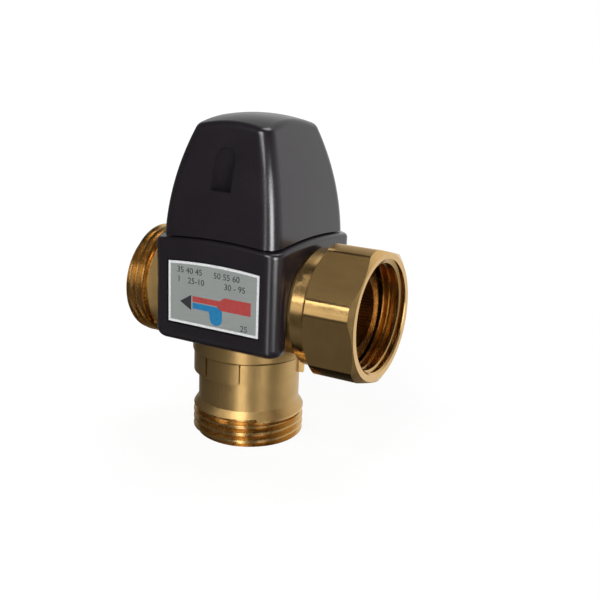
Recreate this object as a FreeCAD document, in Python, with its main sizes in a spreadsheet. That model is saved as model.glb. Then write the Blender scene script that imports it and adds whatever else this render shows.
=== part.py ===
import FreeCAD, Part
import Sketcher
import math
import os
import re

# Thermostatic mixing valve: a brass tee with a snap-on plastic cover.
# Millimetres. The origin is the centre of the bottom port's end face, +Z is up,
# +X points at the union nut and -Y at the front of the cover.

SIZES = [
    # The brass tee
    ("pipe_axis_height", 42.0, "bottom face to the axis of the two side ports"),
    ("outlet_reach", 34.0, "valve axis to the face of the outlet"),
    ("tail_reach", 35.0, "valve axis to the end face of the tail inside the nut"),
    ("thread_radius", 16.6, "outer radius of the pipe thread on the ports"),
    ("thread_core_radius", 15.15, "inner radius of the same thread, in the nut"),
    ("thread_length", 6.6, "threaded length of a port"),
    ("thread_chamfer", 0.5, "lead-in chamfer of a thread"),
    ("thread_relief_width", 0.7, "run-out groove behind a thread"),
    ("collar_width", 0.7, "plain collar behind the run-out groove"),
    ("flare_height", 2.4, "flare from the collar down to the neck"),
    ("neck_radius", 15.1, "neck of the bottom port"),
    ("barrel_radius", 17.0, "barrel round the chambers"),
    ("barrel_drop", 17.0, "pipe axis to the lower end of the barrel"),
    ("barrel_rise", 15.0, "pipe axis to the top face of the barrel"),
    ("barrel_edge", 0.8, "rounded lower edge of the barrel"),
    ("arm_radius", 14.7, "cast arms of the side ports"),
    ("arm_setback", 1.2, "end of the cast arm to the nut's rear face"),
    ("port_bore_radius", 11.0, "waterway of the two threaded ports"),
    ("tail_bore_radius", 10.4, "waterway of the port that carries the nut"),
    ("tail_clearance", 0.65, "radial gap between the tail and the crests of the nut's thread"),
    ("chamber_radius", 12.5, "hot chamber and mixing chamber"),
    ("chamber_wall", 2.6, "wall between a chamber and a side bore"),
    ("cold_seat_underside", 17.0, "lower face of the cold seat"),
    ("cold_seat_thickness", 3.0, "land of the cold seat"),
    ("cold_seat_radius", 7.0, "hole in the cold seat"),
    ("web_drop", 2.0, "pipe axis to the lower face of the web between the chambers"),
    ("web_thickness", 3.5, "web that holds the hot seat"),
    ("hot_seat_radius", 8.5, "hole in the hot seat"),
    ("seat_chamfer", 0.5, "bevel on the edge of a seat"),
    ("window_half_width", 7.0, "half width of the window into a chamber"),
    ("hot_window_height", 7.0, "window from the hot port into the hot chamber"),
    ("mixed_window_height", 7.5, "window from the mixing chamber to the outlet"),
    ("lug_offset", 12.9, "screw lugs from the valve axis, in X and in Y"),
    ("lug_radius", 3.6, "radius of a screw lug"),
    ("lug_height", 8.0, "height of a screw lug"),
    ("cleat_height", 6.0, "cast cleats round the neck, under the barrel"),
    ("cleat_reach", 1.5, "how far the cleats stand out of the neck"),
    ("cleat_root", 1.2, "how deep the cleats are rooted in the neck"),
    # The union nut
    ("nut_flats", 36.4, "across the flats of the union nut"),
    ("nut_corner_radius", 19.8, "turned radius of the nut's corners"),
    ("nut_reach_back", 12.2, "end face of the tail back to the nut's rear face"),
    ("nut_length", 19.6, "length of the nut with its hub"),
    ("nut_hub_length", 3.8, "round hub behind the hexagon"),
    ("nut_hub_radius", 17.0, "radius of that hub"),
    ("nut_turn", 15.0, "how far the nut is turned, in degrees"),
    ("nut_rear_bevel", 1.8, "bevel of the corners at the rear, along the axis"),
    ("nut_front_bevel", 1.2, "bevel of the corners at the front, along the axis"),
    ("nut_rear_radius", 17.4, "where the rear bevel starts"),
    ("nut_face_radius", 17.9, "radius of the nut's flat front face"),
    ("nut_rear_wall", 3.4, "wall that bears on the snap ring"),
    ("nut_clearance", 0.2, "radial gap between the nut's wall and the tail"),
    ("nut_tail_gap", 0.3, "from the tail's end face to the start of the nut's thread"),
    ("nut_relief_depth", 1.5, "depth of the run-out behind the nut's thread"),
    ("nut_mouth_chamfer", 1.0, "lead-in chamfer of the nut's thread"),
    ("snap_ring_wire", 2.0, "wire of the snap ring"),
    ("snap_ring_bite", 0.9, "how deep the snap ring sits in the tail"),
    ("snap_ring_gap", 7.0, "opening of the snap ring"),
    # The bonnet and what it holds
    ("bonnet_thread_radius", 13.5, "thread that screws the bonnet into the barrel"),
    ("bonnet_thread_length", 5.6, "length of that thread"),
    ("bonnet_flange_radius", 15.0, "flange on top of the barrel"),
    ("bonnet_flange_height", 2.2, "height of the flange"),
    ("bonnet_hex_flats", 25.4, "hexagon on the bonnet"),
    ("bonnet_hex_height", 2.8, "height of the hexagon"),
    ("bonnet_tower_radius", 9.8, "tower round the spring cup"),
    ("bonnet_rise", 18.0, "top face of the barrel to the top of the tower"),
    ("bonnet_ceiling", 5.0, "wall that carries the spindle"),
    ("seal_wire", 1.6, "section of the bonnet seal"),
    ("cup_flats", 15.0, "hexagonal outside of the spring cup"),
    ("cup_clearance", 0.1, "gap between the cup and its guide, on each flat"),
    ("cup_rise", 11.0, "pipe axis to the lower end of the spring cup"),
    ("cup_height", 14.0, "height of the spring cup"),
    ("cup_top_wall", 3.0, "threaded top of the cup"),
    ("cup_bore_radius", 6.6, "inside of the cup"),
    ("clip_wire", 0.9, "thickness of the cup's clip"),
    ("clip_bite", 0.4, "how deep the clip sits in the cup"),
    ("push_disc_thickness", 1.6, "disc between the overload spring and the piston"),
    ("overload_wire", 1.3, "wire of the overload spring"),
    ("overload_turns", 4.0, "turns of the overload spring"),
    ("spindle_radius", 4.4, "plain shaft of the setting spindle"),
    ("spindle_bearing_gap", 0.05, "radial running gap of the spindle"),
    ("spindle_thread_radius", 3.9, "thread that drives the cup"),
    ("spindle_thread_gap", 0.1, "radial gap of that thread"),
    ("spindle_thread_length", 8.0, "length of that thread"),
    ("spindle_shoulder_radius", 6.0, "thrust shoulder under the ceiling"),
    ("spindle_shoulder_height", 1.6, "height of the thrust shoulder"),
    ("thrust_gap", 0.1, "axial gap at the shoulder and at the clip"),
    ("spindle_seal_wire", 1.4, "section of the spindle seal"),
    ("spindle_clip_thickness", 0.8, "retaining clip above the ceiling"),
    ("spindle_clip_radius", 6.2, "outer radius of that clip"),
    ("spindle_clip_bite", 1.1, "how deep the clip sits in the spindle"),
    ("spindle_square", 6.0, "square end that turns with the knob"),
    ("spindle_rise", 6.6, "top of the tower to the top of the square end"),
    # The temperature sensor and the two discs
    ("setting_reach", 0.83, "how far the setting moves the sensor each way"),
    ("sensor_stroke", 3.0, "how far the sensor pushes the discs down"),
    ("disc_margin", 0.4, "gap that is left at a seat at the end of all travel"),
    ("sensor_lift", 5.0, "cold seat to the lower end of the wax capsule"),
    ("sensor_radius", 5.5, "wax capsule"),
    ("sensor_collar_radius", 8.2, "collar that the return spring pushes"),
    ("sensor_collar_drop", 4.0, "lower face of the web to the lower face of that collar"),
    ("sensor_collar_height", 2.5, "height of that collar"),
    ("guide_radius", 3.5, "guide of the piston"),
    ("guide_gap", 1.0, "top of the guide to the lower end of the cup"),
    ("piston_radius", 1.5, "piston"),
    ("piston_depth", 8.0, "length of the piston inside the guide"),
    ("stud_radius", 2.2, "stud that carries the cold disc"),
    ("hot_disc_radius", 10.2, "disc above the hot seat"),
    ("cold_disc_radius", 9.0, "disc below the cold seat"),
    ("disc_thickness", 2.4, "thickness of a disc"),
    ("return_wire", 1.15, "wire of the return spring"),
    ("return_turns", 5.0, "turns of the return spring"),
    # The plastic cover
    ("cover_room", 1.8, "room between the barrel and the housing"),
    ("cover_wall", 2.0, "wall of the housing"),
    ("cover_deepening", 2.6, "how much further the cover reaches at the back"),
    ("cover_corner", 4.4, "radius of the housing's upright corners"),
    ("housing_drop", 11.8, "pipe axis to the lower edge of the housing"),
    ("housing_edge", 2.8, "rounded lower edge of the housing"),
    ("housing_rim_wall", 3.4, "wall of the thickened rim at the lower edge"),
    ("housing_rim_height", 3.2, "height of that rim"),
    ("housing_shoulder", 1.3, "rounded shoulder at the parting line"),
    ("slot_radius", 15.2, "slot of the housing round a side arm"),
    ("deck_thickness", 2.2, "deck of the housing on top of the barrel"),
    ("deck_hole_gap", 0.3, "gap between the deck and the bonnet's flange"),
    ("parting_rise", 5.3, "top face of the barrel to the parting line at the middle"),
    ("parting_dome", 150.0, "radius of the domed parting line"),
    ("parting_gap", 0.4, "gap between housing and cap"),
    ("lip_height", 3.4, "lip that the cap goes over, above the parting line"),
    ("lip_wall", 0.8, "wall of that lip"),
    ("lip_gap", 0.3, "gap between the lip and the cap"),
    ("recess_left", -15.3, "label recess, left edge"),
    ("recess_right", 15.7, "label recess, right edge"),
    ("recess_drop", 6.4, "pipe axis to the lower edge of the label recess"),
    ("recess_rise", 12.2, "pipe axis to the top of the recess's sides"),
    ("recess_arch", 150.0, "radius of the recess's arched top"),
    ("recess_depth", 0.7, "depth of the label recess"),
    ("label_margin", 0.5, "gap round the label in its recess"),
    ("label_thickness", 0.4, "thickness of the label"),
    ("screw_radius", 1.7, "thread of the housing screws"),
    ("screw_length", 7.0, "length of a screw below its head"),
    ("screw_hole_gap", 0.2, "gap round a screw in the deck"),
    ("screw_head_radius", 2.4, "pan head of a screw"),
    ("screw_head_height", 1.8, "height of that head"),
    ("screw_slot_width", 0.8, "width of the cross recess in the head"),
    ("cap_wall", 1.4, "wall of the cap"),
    ("cap_side_step", 1.7, "how far the cap's foot stands in from the housing at the sides"),
    ("cap_front_step", 0.9, "the same at the front"),
    ("cap_back_step", 0.6, "the same at the back"),
    ("cap_middle_in", 2.2, "how far the cap has drawn in at its middle section"),
    ("cap_head_in", 8.6, "how far it has drawn in above its top"),
    ("cap_foot_drop", 4.0, "parting line down to the section the cap is drawn from"),
    ("cap_middle_rise", 13.7, "parting line to the middle section"),
    ("cap_rise", 32.3, "parting line to the highest point of the cap"),
    ("cap_dome", 50.0, "radius of the domed top"),
    ("cap_dome_back", 1.5, "how far behind the valve axis the dome is highest"),
    ("cap_foot_corner", 5.0, "upright corner radius at the parting line"),
    ("cap_head_corner", 3.6, "upright corner radius at the top"),
    ("cap_edge", 3.0, "rounded edge round the top of the cap"),
    ("thumb_left", -2.7, "thumb recess of the cap, left edge"),
    ("thumb_right", 3.9, "thumb recess of the cap, right edge"),
    ("thumb_rise", 12.1, "parting line to the flat lower edge of the thumb recess"),
    ("thumb_sides", 8.4, "straight sides of the thumb recess"),
    ("thumb_floor", 14.7, "valve axis to the upright floor of the recess"),
    ("thumb_wall", 1.3, "wall round and behind the thumb recess"),
    # The scale and the knob
    ("scale_outer_radius", 15.4, "outer radius of the scale ring"),
    ("scale_gap", 0.2, "gap between the scale ring and the tower"),
    ("scale_thickness", 1.4, "thickness of the scale ring"),
    ("scale_tick_height", 0.3, "raised ticks of the scale"),
    ("scale_ticks", 11.0, "number of ticks"),
    ("knob_radius", 12.0, "outer radius of the setting knob"),
    ("knob_gap", 0.9, "gap between the scale's ticks and the knob"),
    ("knob_cover", 0.4, "top of the spindle to the top of the knob"),
    ("knob_wall", 1.6, "skirt of the knob"),
    ("knob_roof", 5.2, "thickness of the knob's top"),
    ("knob_flute_radius", 2.2, "grip flutes of the knob"),
    ("knob_flute_depth", 0.7, "depth of a grip flute"),
    ("knob_flutes", 12.0, "number of grip flutes"),
    ("knob_screw_radius", 1.5, "screw that holds the knob"),
    ("knob_screw_length", 6.0, "length of that screw below its head"),
    ("knob_screw_head_radius", 2.8, "head of that screw"),
    ("knob_screw_head_height", 1.8, "height of that head"),
]

# Sizes that follow from the ones above
DERIVED = [
    ("thread_relief_radius", "thread_core_radius"),
    ("collar_end", "thread_length + thread_relief_width + collar_width"),
    ("neck_top", "pipe_axis_height - barrel_drop"),
    ("barrel_top", "pipe_axis_height + barrel_rise"),
    ("cleat_radius", "neck_radius + cleat_reach"),
    ("cold_seat_top", "cold_seat_underside + cold_seat_thickness"),
    ("web_underside", "pipe_axis_height - web_drop"),
    ("web_top", "web_underside + web_thickness"),
    ("bonnet_top", "barrel_top + bonnet_rise"),
    ("spindle_top", "bonnet_top + spindle_rise"),
    ("cup_bottom", "pipe_axis_height + cup_rise"),
    ("guide_top", "cup_bottom - guide_gap"),
    ("sensor_bottom", "cold_seat_top + sensor_lift"),
    ("sensor_collar_bottom", "web_underside - sensor_collar_drop"),
    ("bonnet_seat_step", "barrel_top - bonnet_thread_length - 0.3"),
    ("flange_top", "barrel_top + bonnet_flange_height"),
    ("hex_top", "flange_top + bonnet_hex_height"),
    ("ceiling_bottom", "bonnet_top - bonnet_ceiling"),
    ("cup_top", "cup_bottom + cup_height"),
    ("clip_height", "cup_bottom + 1.0"),
    ("push_disc_bottom", "clip_height + clip_wire"),
    ("push_disc_top", "push_disc_bottom + push_disc_thickness"),
    ("overload_top", "cup_top - cup_top_wall"),
    ("hot_disc_bottom", "web_top + sensor_stroke + setting_reach + disc_margin"),
    ("cold_disc_top", "cold_seat_underside - setting_reach - disc_margin"),
    ("cold_disc_bottom", "cold_disc_top - disc_thickness"),
    ("deck_top", "barrel_top + deck_thickness"),
    ("deck_hole_radius", "bonnet_flange_radius + deck_hole_gap"),
    ("housing_bottom", "pipe_axis_height - housing_drop"),
    ("parting_height", "barrel_top + parting_rise"),
    ("cover_half", "barrel_radius + cover_room + cover_wall"),
    ("cover_back", "cover_half + cover_deepening"),
    ("cap_side", "cover_half - cap_side_step"),
    ("cap_front", "cover_half - cap_front_step"),
    ("cap_back", "cover_back - cap_back_step"),
    ("cap_top", "parting_height + cap_rise"),
    ("cap_head_height", "cap_top + 1"),
    ("cap_middle_height", "parting_height + cap_middle_rise"),
    ("cap_middle_corner", "(cap_foot_corner + cap_head_corner) / 2"),
    ("cap_inner_top", "cap_top - 2 * cap_wall"),
    ("cap_inner_share", "(cap_inner_top - cap_middle_height) / (cap_head_height - cap_middle_height)"),
    ("cap_inner_in", "cap_middle_in + (cap_head_in - cap_middle_in) * cap_inner_share"),
    ("lip_top", "parting_height + lip_height"),
    ("lip_draw", "cap_middle_in * (lip_height + cap_foot_drop) / (cap_middle_rise + cap_foot_drop)"),
    ("lip_inset", "cap_wall + lip_gap + lip_draw"),
    ("lip_corner", "cap_foot_corner - cap_wall - lip_gap"),
    ("recess_bottom", "pipe_axis_height - recess_drop"),
    ("recess_side_top", "pipe_axis_height + recess_rise"),
    ("thumb_bottom", "parting_height + thumb_rise"),
    ("thumb_side_top", "thumb_bottom + thumb_sides"),
    ("knob_bottom", "hex_top + scale_thickness + scale_tick_height + knob_gap"),
    ("knob_top", "spindle_top + knob_cover"),
    ("tail_radius", "thread_core_radius - tail_clearance"),
    ("nut_start", "tail_reach - nut_reach_back"),
    ("snap_ring_place", "nut_start + nut_rear_wall + snap_ring_wire / 2 + 0.05"),
    ("nut_bore_radius", "tail_radius + nut_clearance"),
    ("nut_thread_start", "tail_reach + nut_tail_gap - nut_start"),
    ("spindle_clip_bottom", "bonnet_top + thrust_gap"),
    ("spindle_shoulder_top", "ceiling_bottom - thrust_gap"),
    ("spindle_shoulder_bottom", "spindle_shoulder_top - spindle_shoulder_height"),
    ("spindle_hole_radius", "spindle_radius + spindle_bearing_gap"),
    ("cup_nut_radius", "spindle_thread_radius + spindle_thread_gap"),
]

# First and last angle of the cleats on one half of the neck, counted from the front
CLEATS = [(-72, -18), (-15.5, 21.5), (27, 43)]

doc = FreeCAD.newDocument("thermostatic_mixing_valve")
sheet = doc.addObject("Spreadsheet::Sheet", "dims")
ALIASES = {row[0] for row in SIZES + DERIVED}
Vector = FreeCAD.Vector
SUB_PARTS = []


def bound(text):
    """Writes the sheet's name before each alias of an expression."""
    def with_sheet(match):
        word = match.group(0)
        return "dims." + word if word in ALIASES else word
    return re.sub(r"[A-Za-z_]\w*", with_sheet, str(text))


def value(text):
    """The number that an expression of the sheet gives now."""
    return float(sheet.evalExpression(bound(text)))


def fill_sheet():
    for row, (alias, number, meaning) in enumerate(SIZES, start=1):
        sheet.set("A%d" % row, str(number))
        sheet.set("B%d" % row, meaning)
        sheet.setAlias("A%d" % row, alias)
    doc.recompute()
    for row, (alias, formula) in enumerate(DERIVED, start=len(SIZES) + 1):
        sheet.set("A%d" % row, "=" + formula)
        sheet.setAlias("A%d" % row, alias)
        doc.recompute()


def new_body(label):
    """A PartDesign body that is one sub-part of the valve."""
    body = doc.addObject("PartDesign::Body", label)
    body.Label = label
    return body


def base_plane(body, role):
    return [item for item in body.Origin.OriginFeatures if item.Role == role][0]


def empty_sketch(body, name, plane, up, out):
    """A sketch on an origin plane, moved up in the plane and out along its normal."""
    sketch = body.newObject("Sketcher::SketchObject", name)
    sketch.AttachmentSupport = (base_plane(body, plane), [""])
    sketch.MapMode = "FlatFace"
    sketch.setExpression("AttachmentOffset.Base.y", bound(up))
    sketch.setExpression("AttachmentOffset.Base.z", bound(out))
    return sketch


def hold(sketch, kind, edge, end, text):
    """Holds one coordinate or radius of an edge at an expression of the sheet."""
    place = (edge, end) if end else (edge,)
    index = sketch.addConstraint(Sketcher.Constraint(kind, *place, value(text)))
    sketch.setExpression("Constraints[%d]" % index, bound(text))


def arc_through(start, end, radius, side):
    """The short arc between two points, its centre left (1) or right (-1) of the way."""
    middle = (start + end) * 0.5
    along = (end - start).normalize()
    across = Vector(-along.y, along.x, 0) * side
    half = start.distanceToPoint(end) / 2
    centre = middle + across * math.sqrt(radius ** 2 - half ** 2)
    return Part.Arc(start, centre - across * radius, end)


def outline(body, name, plane, points, arcs=None, up="0", out="0"):
    """A closed outline of straight edges and arcs whose corners are expressions."""
    sketch = empty_sketch(body, name, plane, up, out)
    arcs = arcs or {}
    spots = [Vector(value(x), value(y), 0) for x, y in points]
    count = len(spots)
    for i in range(count):
        start, end = spots[i], spots[(i + 1) % count]
        if i in arcs:
            radius, side = arcs[i]
            sketch.addGeometry(arc_through(start, end, value(radius), side), False)
        else:
            sketch.addGeometry(Part.LineSegment(start, end), False)
    reverse = [i in arcs and arcs[i][1] < 0 for i in range(count)]
    first = [2 if turned else 1 for turned in reverse]
    for i in range(count):
        after = (i + 1) % count
        sketch.addConstraint(Sketcher.Constraint("Coincident", i, 3 - first[i], after, first[after]))
    for i, (x, y) in enumerate(points):
        hold(sketch, "DistanceX", i, first[i], x)
        hold(sketch, "DistanceY", i, first[i], y)
        if i in arcs:
            hold(sketch, "Radius", i, None, arcs[i][0])
    return sketch


def circles(body, name, plane, rings, up="0", out="0"):
    """A sketch of circles, each given as centre x, centre y and radius."""
    sketch = empty_sketch(body, name, plane, up, out)
    for i, (x, y, radius) in enumerate(rings):
        sketch.addGeometry(Part.Circle(Vector(value(x), value(y), 0), Vector(0, 0, 1), value(radius)), False)
        hold(sketch, "DistanceX", i, 3, x)
        hold(sketch, "DistanceY", i, 3, y)
        hold(sketch, "Radius", i, None, radius)
    return sketch


def rounded_oblong(body, name, side, front, back, corner, out, inset="0"):
    """An oblong with round corners at a height, as far to both sides, and its own reach to front and back."""
    left, right = "-((%s) - (%s))" % (side, inset), "(%s) - (%s)" % (side, inset)
    near, far = "-((%s) - (%s))" % (front, inset), "(%s) - (%s)" % (back, inset)
    points = [
        ("%s - (%s)" % (right, corner), near), (right, "%s + (%s)" % (near, corner)),
        (right, "%s - (%s)" % (far, corner)), ("%s - (%s)" % (right, corner), far),
        ("%s + (%s)" % (left, corner), far), (left, "%s - (%s)" % (far, corner)),
        (left, "%s + (%s)" % (near, corner)), ("%s + (%s)" % (left, corner), near),
    ]
    arcs = {i: (corner, 1) for i in (0, 2, 4, 6)}
    return outline(body, name, "XY_Plane", points, arcs, out=out)


def hexagon(body, name, flats, out="0"):
    """A hexagon about the valve axis with two corners on the X axis."""
    reach = "(%s) / sqrt(3)" % flats
    across = "(%s) / 2" % flats
    points = [
        (reach, "0"), (reach + " / 2", across), ("-" + reach + " / 2", across),
        ("-" + reach, "0"), ("-" + reach + " / 2", "-" + across), (reach + " / 2", "-" + across),
    ]
    return outline(body, name, "XY_Plane", points, out=out)


def checked(body, feature, grows):
    """Recomputes and makes sure that a feature changed the solid the right way."""
    doc.recompute()
    before = feature.BaseFeature.Shape.Volume if feature.BaseFeature else 0.0
    change = feature.Shape.Volume - before
    if (change > 0) != grows or abs(change) < 1e-6:
        raise RuntimeError("%s of %s changed the solid by %.4f mm3" % (feature.Name, body.Label, change))
    return feature


def pad(body, name, sketch, length, reverse=False):
    feature = body.newObject("PartDesign::Pad", name)
    feature.Profile = sketch
    feature.Reversed = reverse
    feature.setExpression("Length", bound(length))
    return checked(body, feature, True)


def pocket(body, name, sketch, length, reverse=False):
    feature = body.newObject("PartDesign::Pocket", name)
    feature.Profile = sketch
    feature.Reversed = reverse
    feature.setExpression("Length", bound(length))
    return checked(body, feature, False)


def turned(body, name, sketch, axis="V_Axis", cut=False):
    """A solid or a cut that is turned about an axis of its sketch."""
    kind = "PartDesign::Groove" if cut else "PartDesign::Revolution"
    feature = body.newObject(kind, name)
    feature.Profile = sketch
    feature.ReferenceAxis = (sketch, [axis])
    feature.Angle = 360
    return checked(body, feature, not cut)


def loft(body, name, sections, cut=False):
    kind = "PartDesign::SubtractiveLoft" if cut else "PartDesign::AdditiveLoft"
    feature = body.newObject(kind, name)
    feature.Profile = sections[0]
    feature.Sections = sections[1:]
    return checked(body, feature, not cut)


def around(body, name, feature, count):
    """Repeats a feature round the valve axis."""
    axis = [item for item in body.Origin.OriginFeatures if item.Role == "Z_Axis"][0]
    pattern = body.newObject("PartDesign::PolarPattern", name)
    pattern.Originals = [feature]
    pattern.Axis = (axis, [""])
    pattern.Angle = 360
    pattern.setExpression("Occurrences", bound(count))
    body.Tip = pattern
    doc.recompute()
    return pattern


def edges_where(shape, test):
    return ["Edge%d" % (i + 1) for i, edge in enumerate(shape.Edges) if test(edge.BoundBox)]


def rounded(body, name, feature, names, radius):
    fillet = body.newObject("PartDesign::Fillet", name)
    fillet.Base = (feature, names)
    fillet.setExpression("Radius", bound(radius))
    body.Tip = fillet
    doc.recompute()
    return fillet


def along_pipe(body, start):
    """Lays a body that was modelled along Z on the pipe axis, pointing at +X."""
    body.Placement = FreeCAD.Placement(Vector(0, 0, 0), FreeCAD.Rotation(Vector(0, 1, 0), 90))
    body.setExpression(".Placement.Base.x", bound(start))
    body.setExpression(".Placement.Base.z", bound("pipe_axis_height"))


def sphere(name, radius, top):
    """A ball on the valve axis, given by its highest point."""
    ball = doc.addObject("Part::Sphere", name)
    ball.setExpression("Radius", bound(radius))
    ball.setExpression(".Placement.Base.z", bound("(%s) - (%s)" % (top, radius)))
    return ball


def keep(part):
    SUB_PARTS.append(part)
    return part


def cleat(body, name, first, last):
    """A cast cleat round the neck, between two angles that are counted from the front."""
    def spot(radius, angle):
        return ("(%s) * sin(%s)" % (radius, angle), "-(%s) * cos(%s)" % (radius, angle))
    root = "neck_radius - cleat_root"
    sector = outline(body, name + "_outline", "XY_Plane", [
        spot("cleat_radius", first), spot("cleat_radius", last), spot(root, last), spot(root, first),
    ], {0: ("cleat_radius", 1), 2: (root, -1)}, out="neck_top - cleat_height")
    pad(body, name, sector, "cleat_height + barrel_edge")


def valve_body():
    body = new_body("valve_body")
    column = outline(body, "column_outline", "XZ_Plane", [
        ("0", "0"),
        ("thread_radius - thread_chamfer", "0"),
        ("thread_radius", "thread_chamfer"),
        ("thread_radius", "thread_length"),
        ("thread_relief_radius", "thread_length"),
        ("thread_relief_radius", "thread_length + thread_relief_width"),
        ("thread_radius", "thread_length + thread_relief_width"),
        ("thread_radius", "collar_end"),
        ("neck_radius", "collar_end + flare_height"),
        ("neck_radius", "neck_top"),
        ("barrel_radius - barrel_edge", "neck_top"),
        ("barrel_radius", "neck_top + barrel_edge"),
        ("barrel_radius", "barrel_top"),
        ("0", "barrel_top"),
    ], {10: ("barrel_edge", 1)})
    turned(body, "column", column)

    near = "lug_offset - lug_radius * sqrt(0.5)"
    far = "lug_offset + lug_radius * sqrt(0.5)"
    round_end = ("lug_radius", 1)
    lugs = outline(body, "lug_outline", "XY_Plane", [
        (far, near), (far, far), (near, far),
        ("-(%s)" % far, "-(%s)" % near), ("-(%s)" % far, "-(%s)" % far), ("-(%s)" % near, "-(%s)" % far),
    ], {0: round_end, 1: round_end, 3: round_end, 4: round_end}, out="barrel_top")
    pad(body, "lugs", lugs, "lug_height", reverse=True)

    arms = outline(body, "arm_outline", "XZ_Plane", [
        ("-outlet_reach", "0"),
        ("tail_reach", "0"),
        ("tail_reach", "tail_radius - seat_chamfer"),
        ("tail_reach - seat_chamfer", "tail_radius"),
        ("snap_ring_place + snap_ring_wire / 2", "tail_radius"),
        ("snap_ring_place + snap_ring_wire / 2", "tail_radius - snap_ring_bite"),
        ("snap_ring_place - snap_ring_wire / 2", "tail_radius - snap_ring_bite"),
        ("snap_ring_place - snap_ring_wire / 2", "tail_radius"),
        ("nut_start - arm_setback", "tail_radius"),
        ("nut_start - arm_setback", "arm_radius"),
        ("-(outlet_reach - collar_end - flare_height)", "arm_radius"),
        ("-(outlet_reach - collar_end)", "thread_radius"),
        ("-(outlet_reach - thread_length - thread_relief_width)", "thread_radius"),
        ("-(outlet_reach - thread_length - thread_relief_width)", "thread_relief_radius"),
        ("-(outlet_reach - thread_length)", "thread_relief_radius"),
        ("-(outlet_reach - thread_length)", "thread_radius"),
        ("-(outlet_reach - thread_chamfer)", "thread_radius"),
        ("-outlet_reach", "thread_radius - thread_chamfer"),
    ], up="pipe_axis_height")
    turned(body, "arms", arms, "H_Axis")

    for half_turn in (0, 180):
        for number, (first, last) in enumerate(CLEATS):
            cleat(body, "cleat_%d_%d" % (half_turn, number), first + half_turn, last + half_turn)

    waterway = outline(body, "chamber_outline", "XZ_Plane", [
        ("0", "-1"),
        ("port_bore_radius", "-1"),
        ("port_bore_radius", "cold_seat_underside"),
        ("cold_seat_radius + seat_chamfer", "cold_seat_underside"),
        ("cold_seat_radius", "cold_seat_underside + seat_chamfer"),
        ("cold_seat_radius", "cold_seat_top"),
        ("chamber_radius", "cold_seat_top"),
        ("chamber_radius", "web_underside"),
        ("hot_seat_radius", "web_underside"),
        ("hot_seat_radius", "web_top - seat_chamfer"),
        ("hot_seat_radius + seat_chamfer", "web_top"),
        ("chamber_radius", "web_top"),
        ("chamber_radius", "bonnet_seat_step"),
        ("bonnet_thread_radius", "bonnet_seat_step"),
        ("bonnet_thread_radius", "barrel_top + 1"),
        ("0", "barrel_top + 1"),
    ])
    turned(body, "chambers", waterway, cut=True)

    wall = "chamber_radius + chamber_wall"
    outlet = outline(body, "outlet_bore_outline", "XZ_Plane", [
        ("-outlet_reach - 1", "0"),
        ("-(%s)" % wall, "0"),
        ("-(%s)" % wall, "port_bore_radius"),
        ("-outlet_reach - 1", "port_bore_radius"),
    ], up="pipe_axis_height")
    turned(body, "outlet_bore", outlet, "H_Axis", cut=True)
    inlet = outline(body, "hot_bore_outline", "XZ_Plane", [
        (wall, "0"),
        ("tail_reach + 1", "0"),
        ("tail_reach + 1", "tail_bore_radius"),
        (wall, "tail_bore_radius"),
    ], up="pipe_axis_height")
    turned(body, "hot_bore", inlet, "H_Axis", cut=True)

    window_depth = "chamber_wall + 5"
    hot_window = outline(body, "hot_window_outline", "YZ_Plane", [
        ("-window_half_width", "web_top"),
        ("window_half_width", "web_top"),
        ("window_half_width", "web_top + hot_window_height"),
        ("-window_half_width", "web_top + hot_window_height"),
    ], out=wall + " + 0.5")
    pocket(body, "hot_window", hot_window, window_depth)
    mixed_window = outline(body, "mixed_window_outline", "YZ_Plane", [
        ("-window_half_width", "web_underside - mixed_window_height"),
        ("window_half_width", "web_underside - mixed_window_height"),
        ("window_half_width", "web_underside"),
        ("-window_half_width", "web_underside"),
    ], out="-(%s) - 0.5" % wall)
    pocket(body, "mixed_window", mixed_window, window_depth, reverse=True)

    screw_holes = circles(body, "lug_hole_outline", "XY_Plane", [
        ("lug_offset", "lug_offset", "screw_radius"),
        ("-lug_offset", "-lug_offset", "screw_radius"),
    ], out="barrel_top")
    pocket(body, "lug_holes", screw_holes, "screw_length - deck_thickness + 0.5")
    return keep(body)


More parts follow.
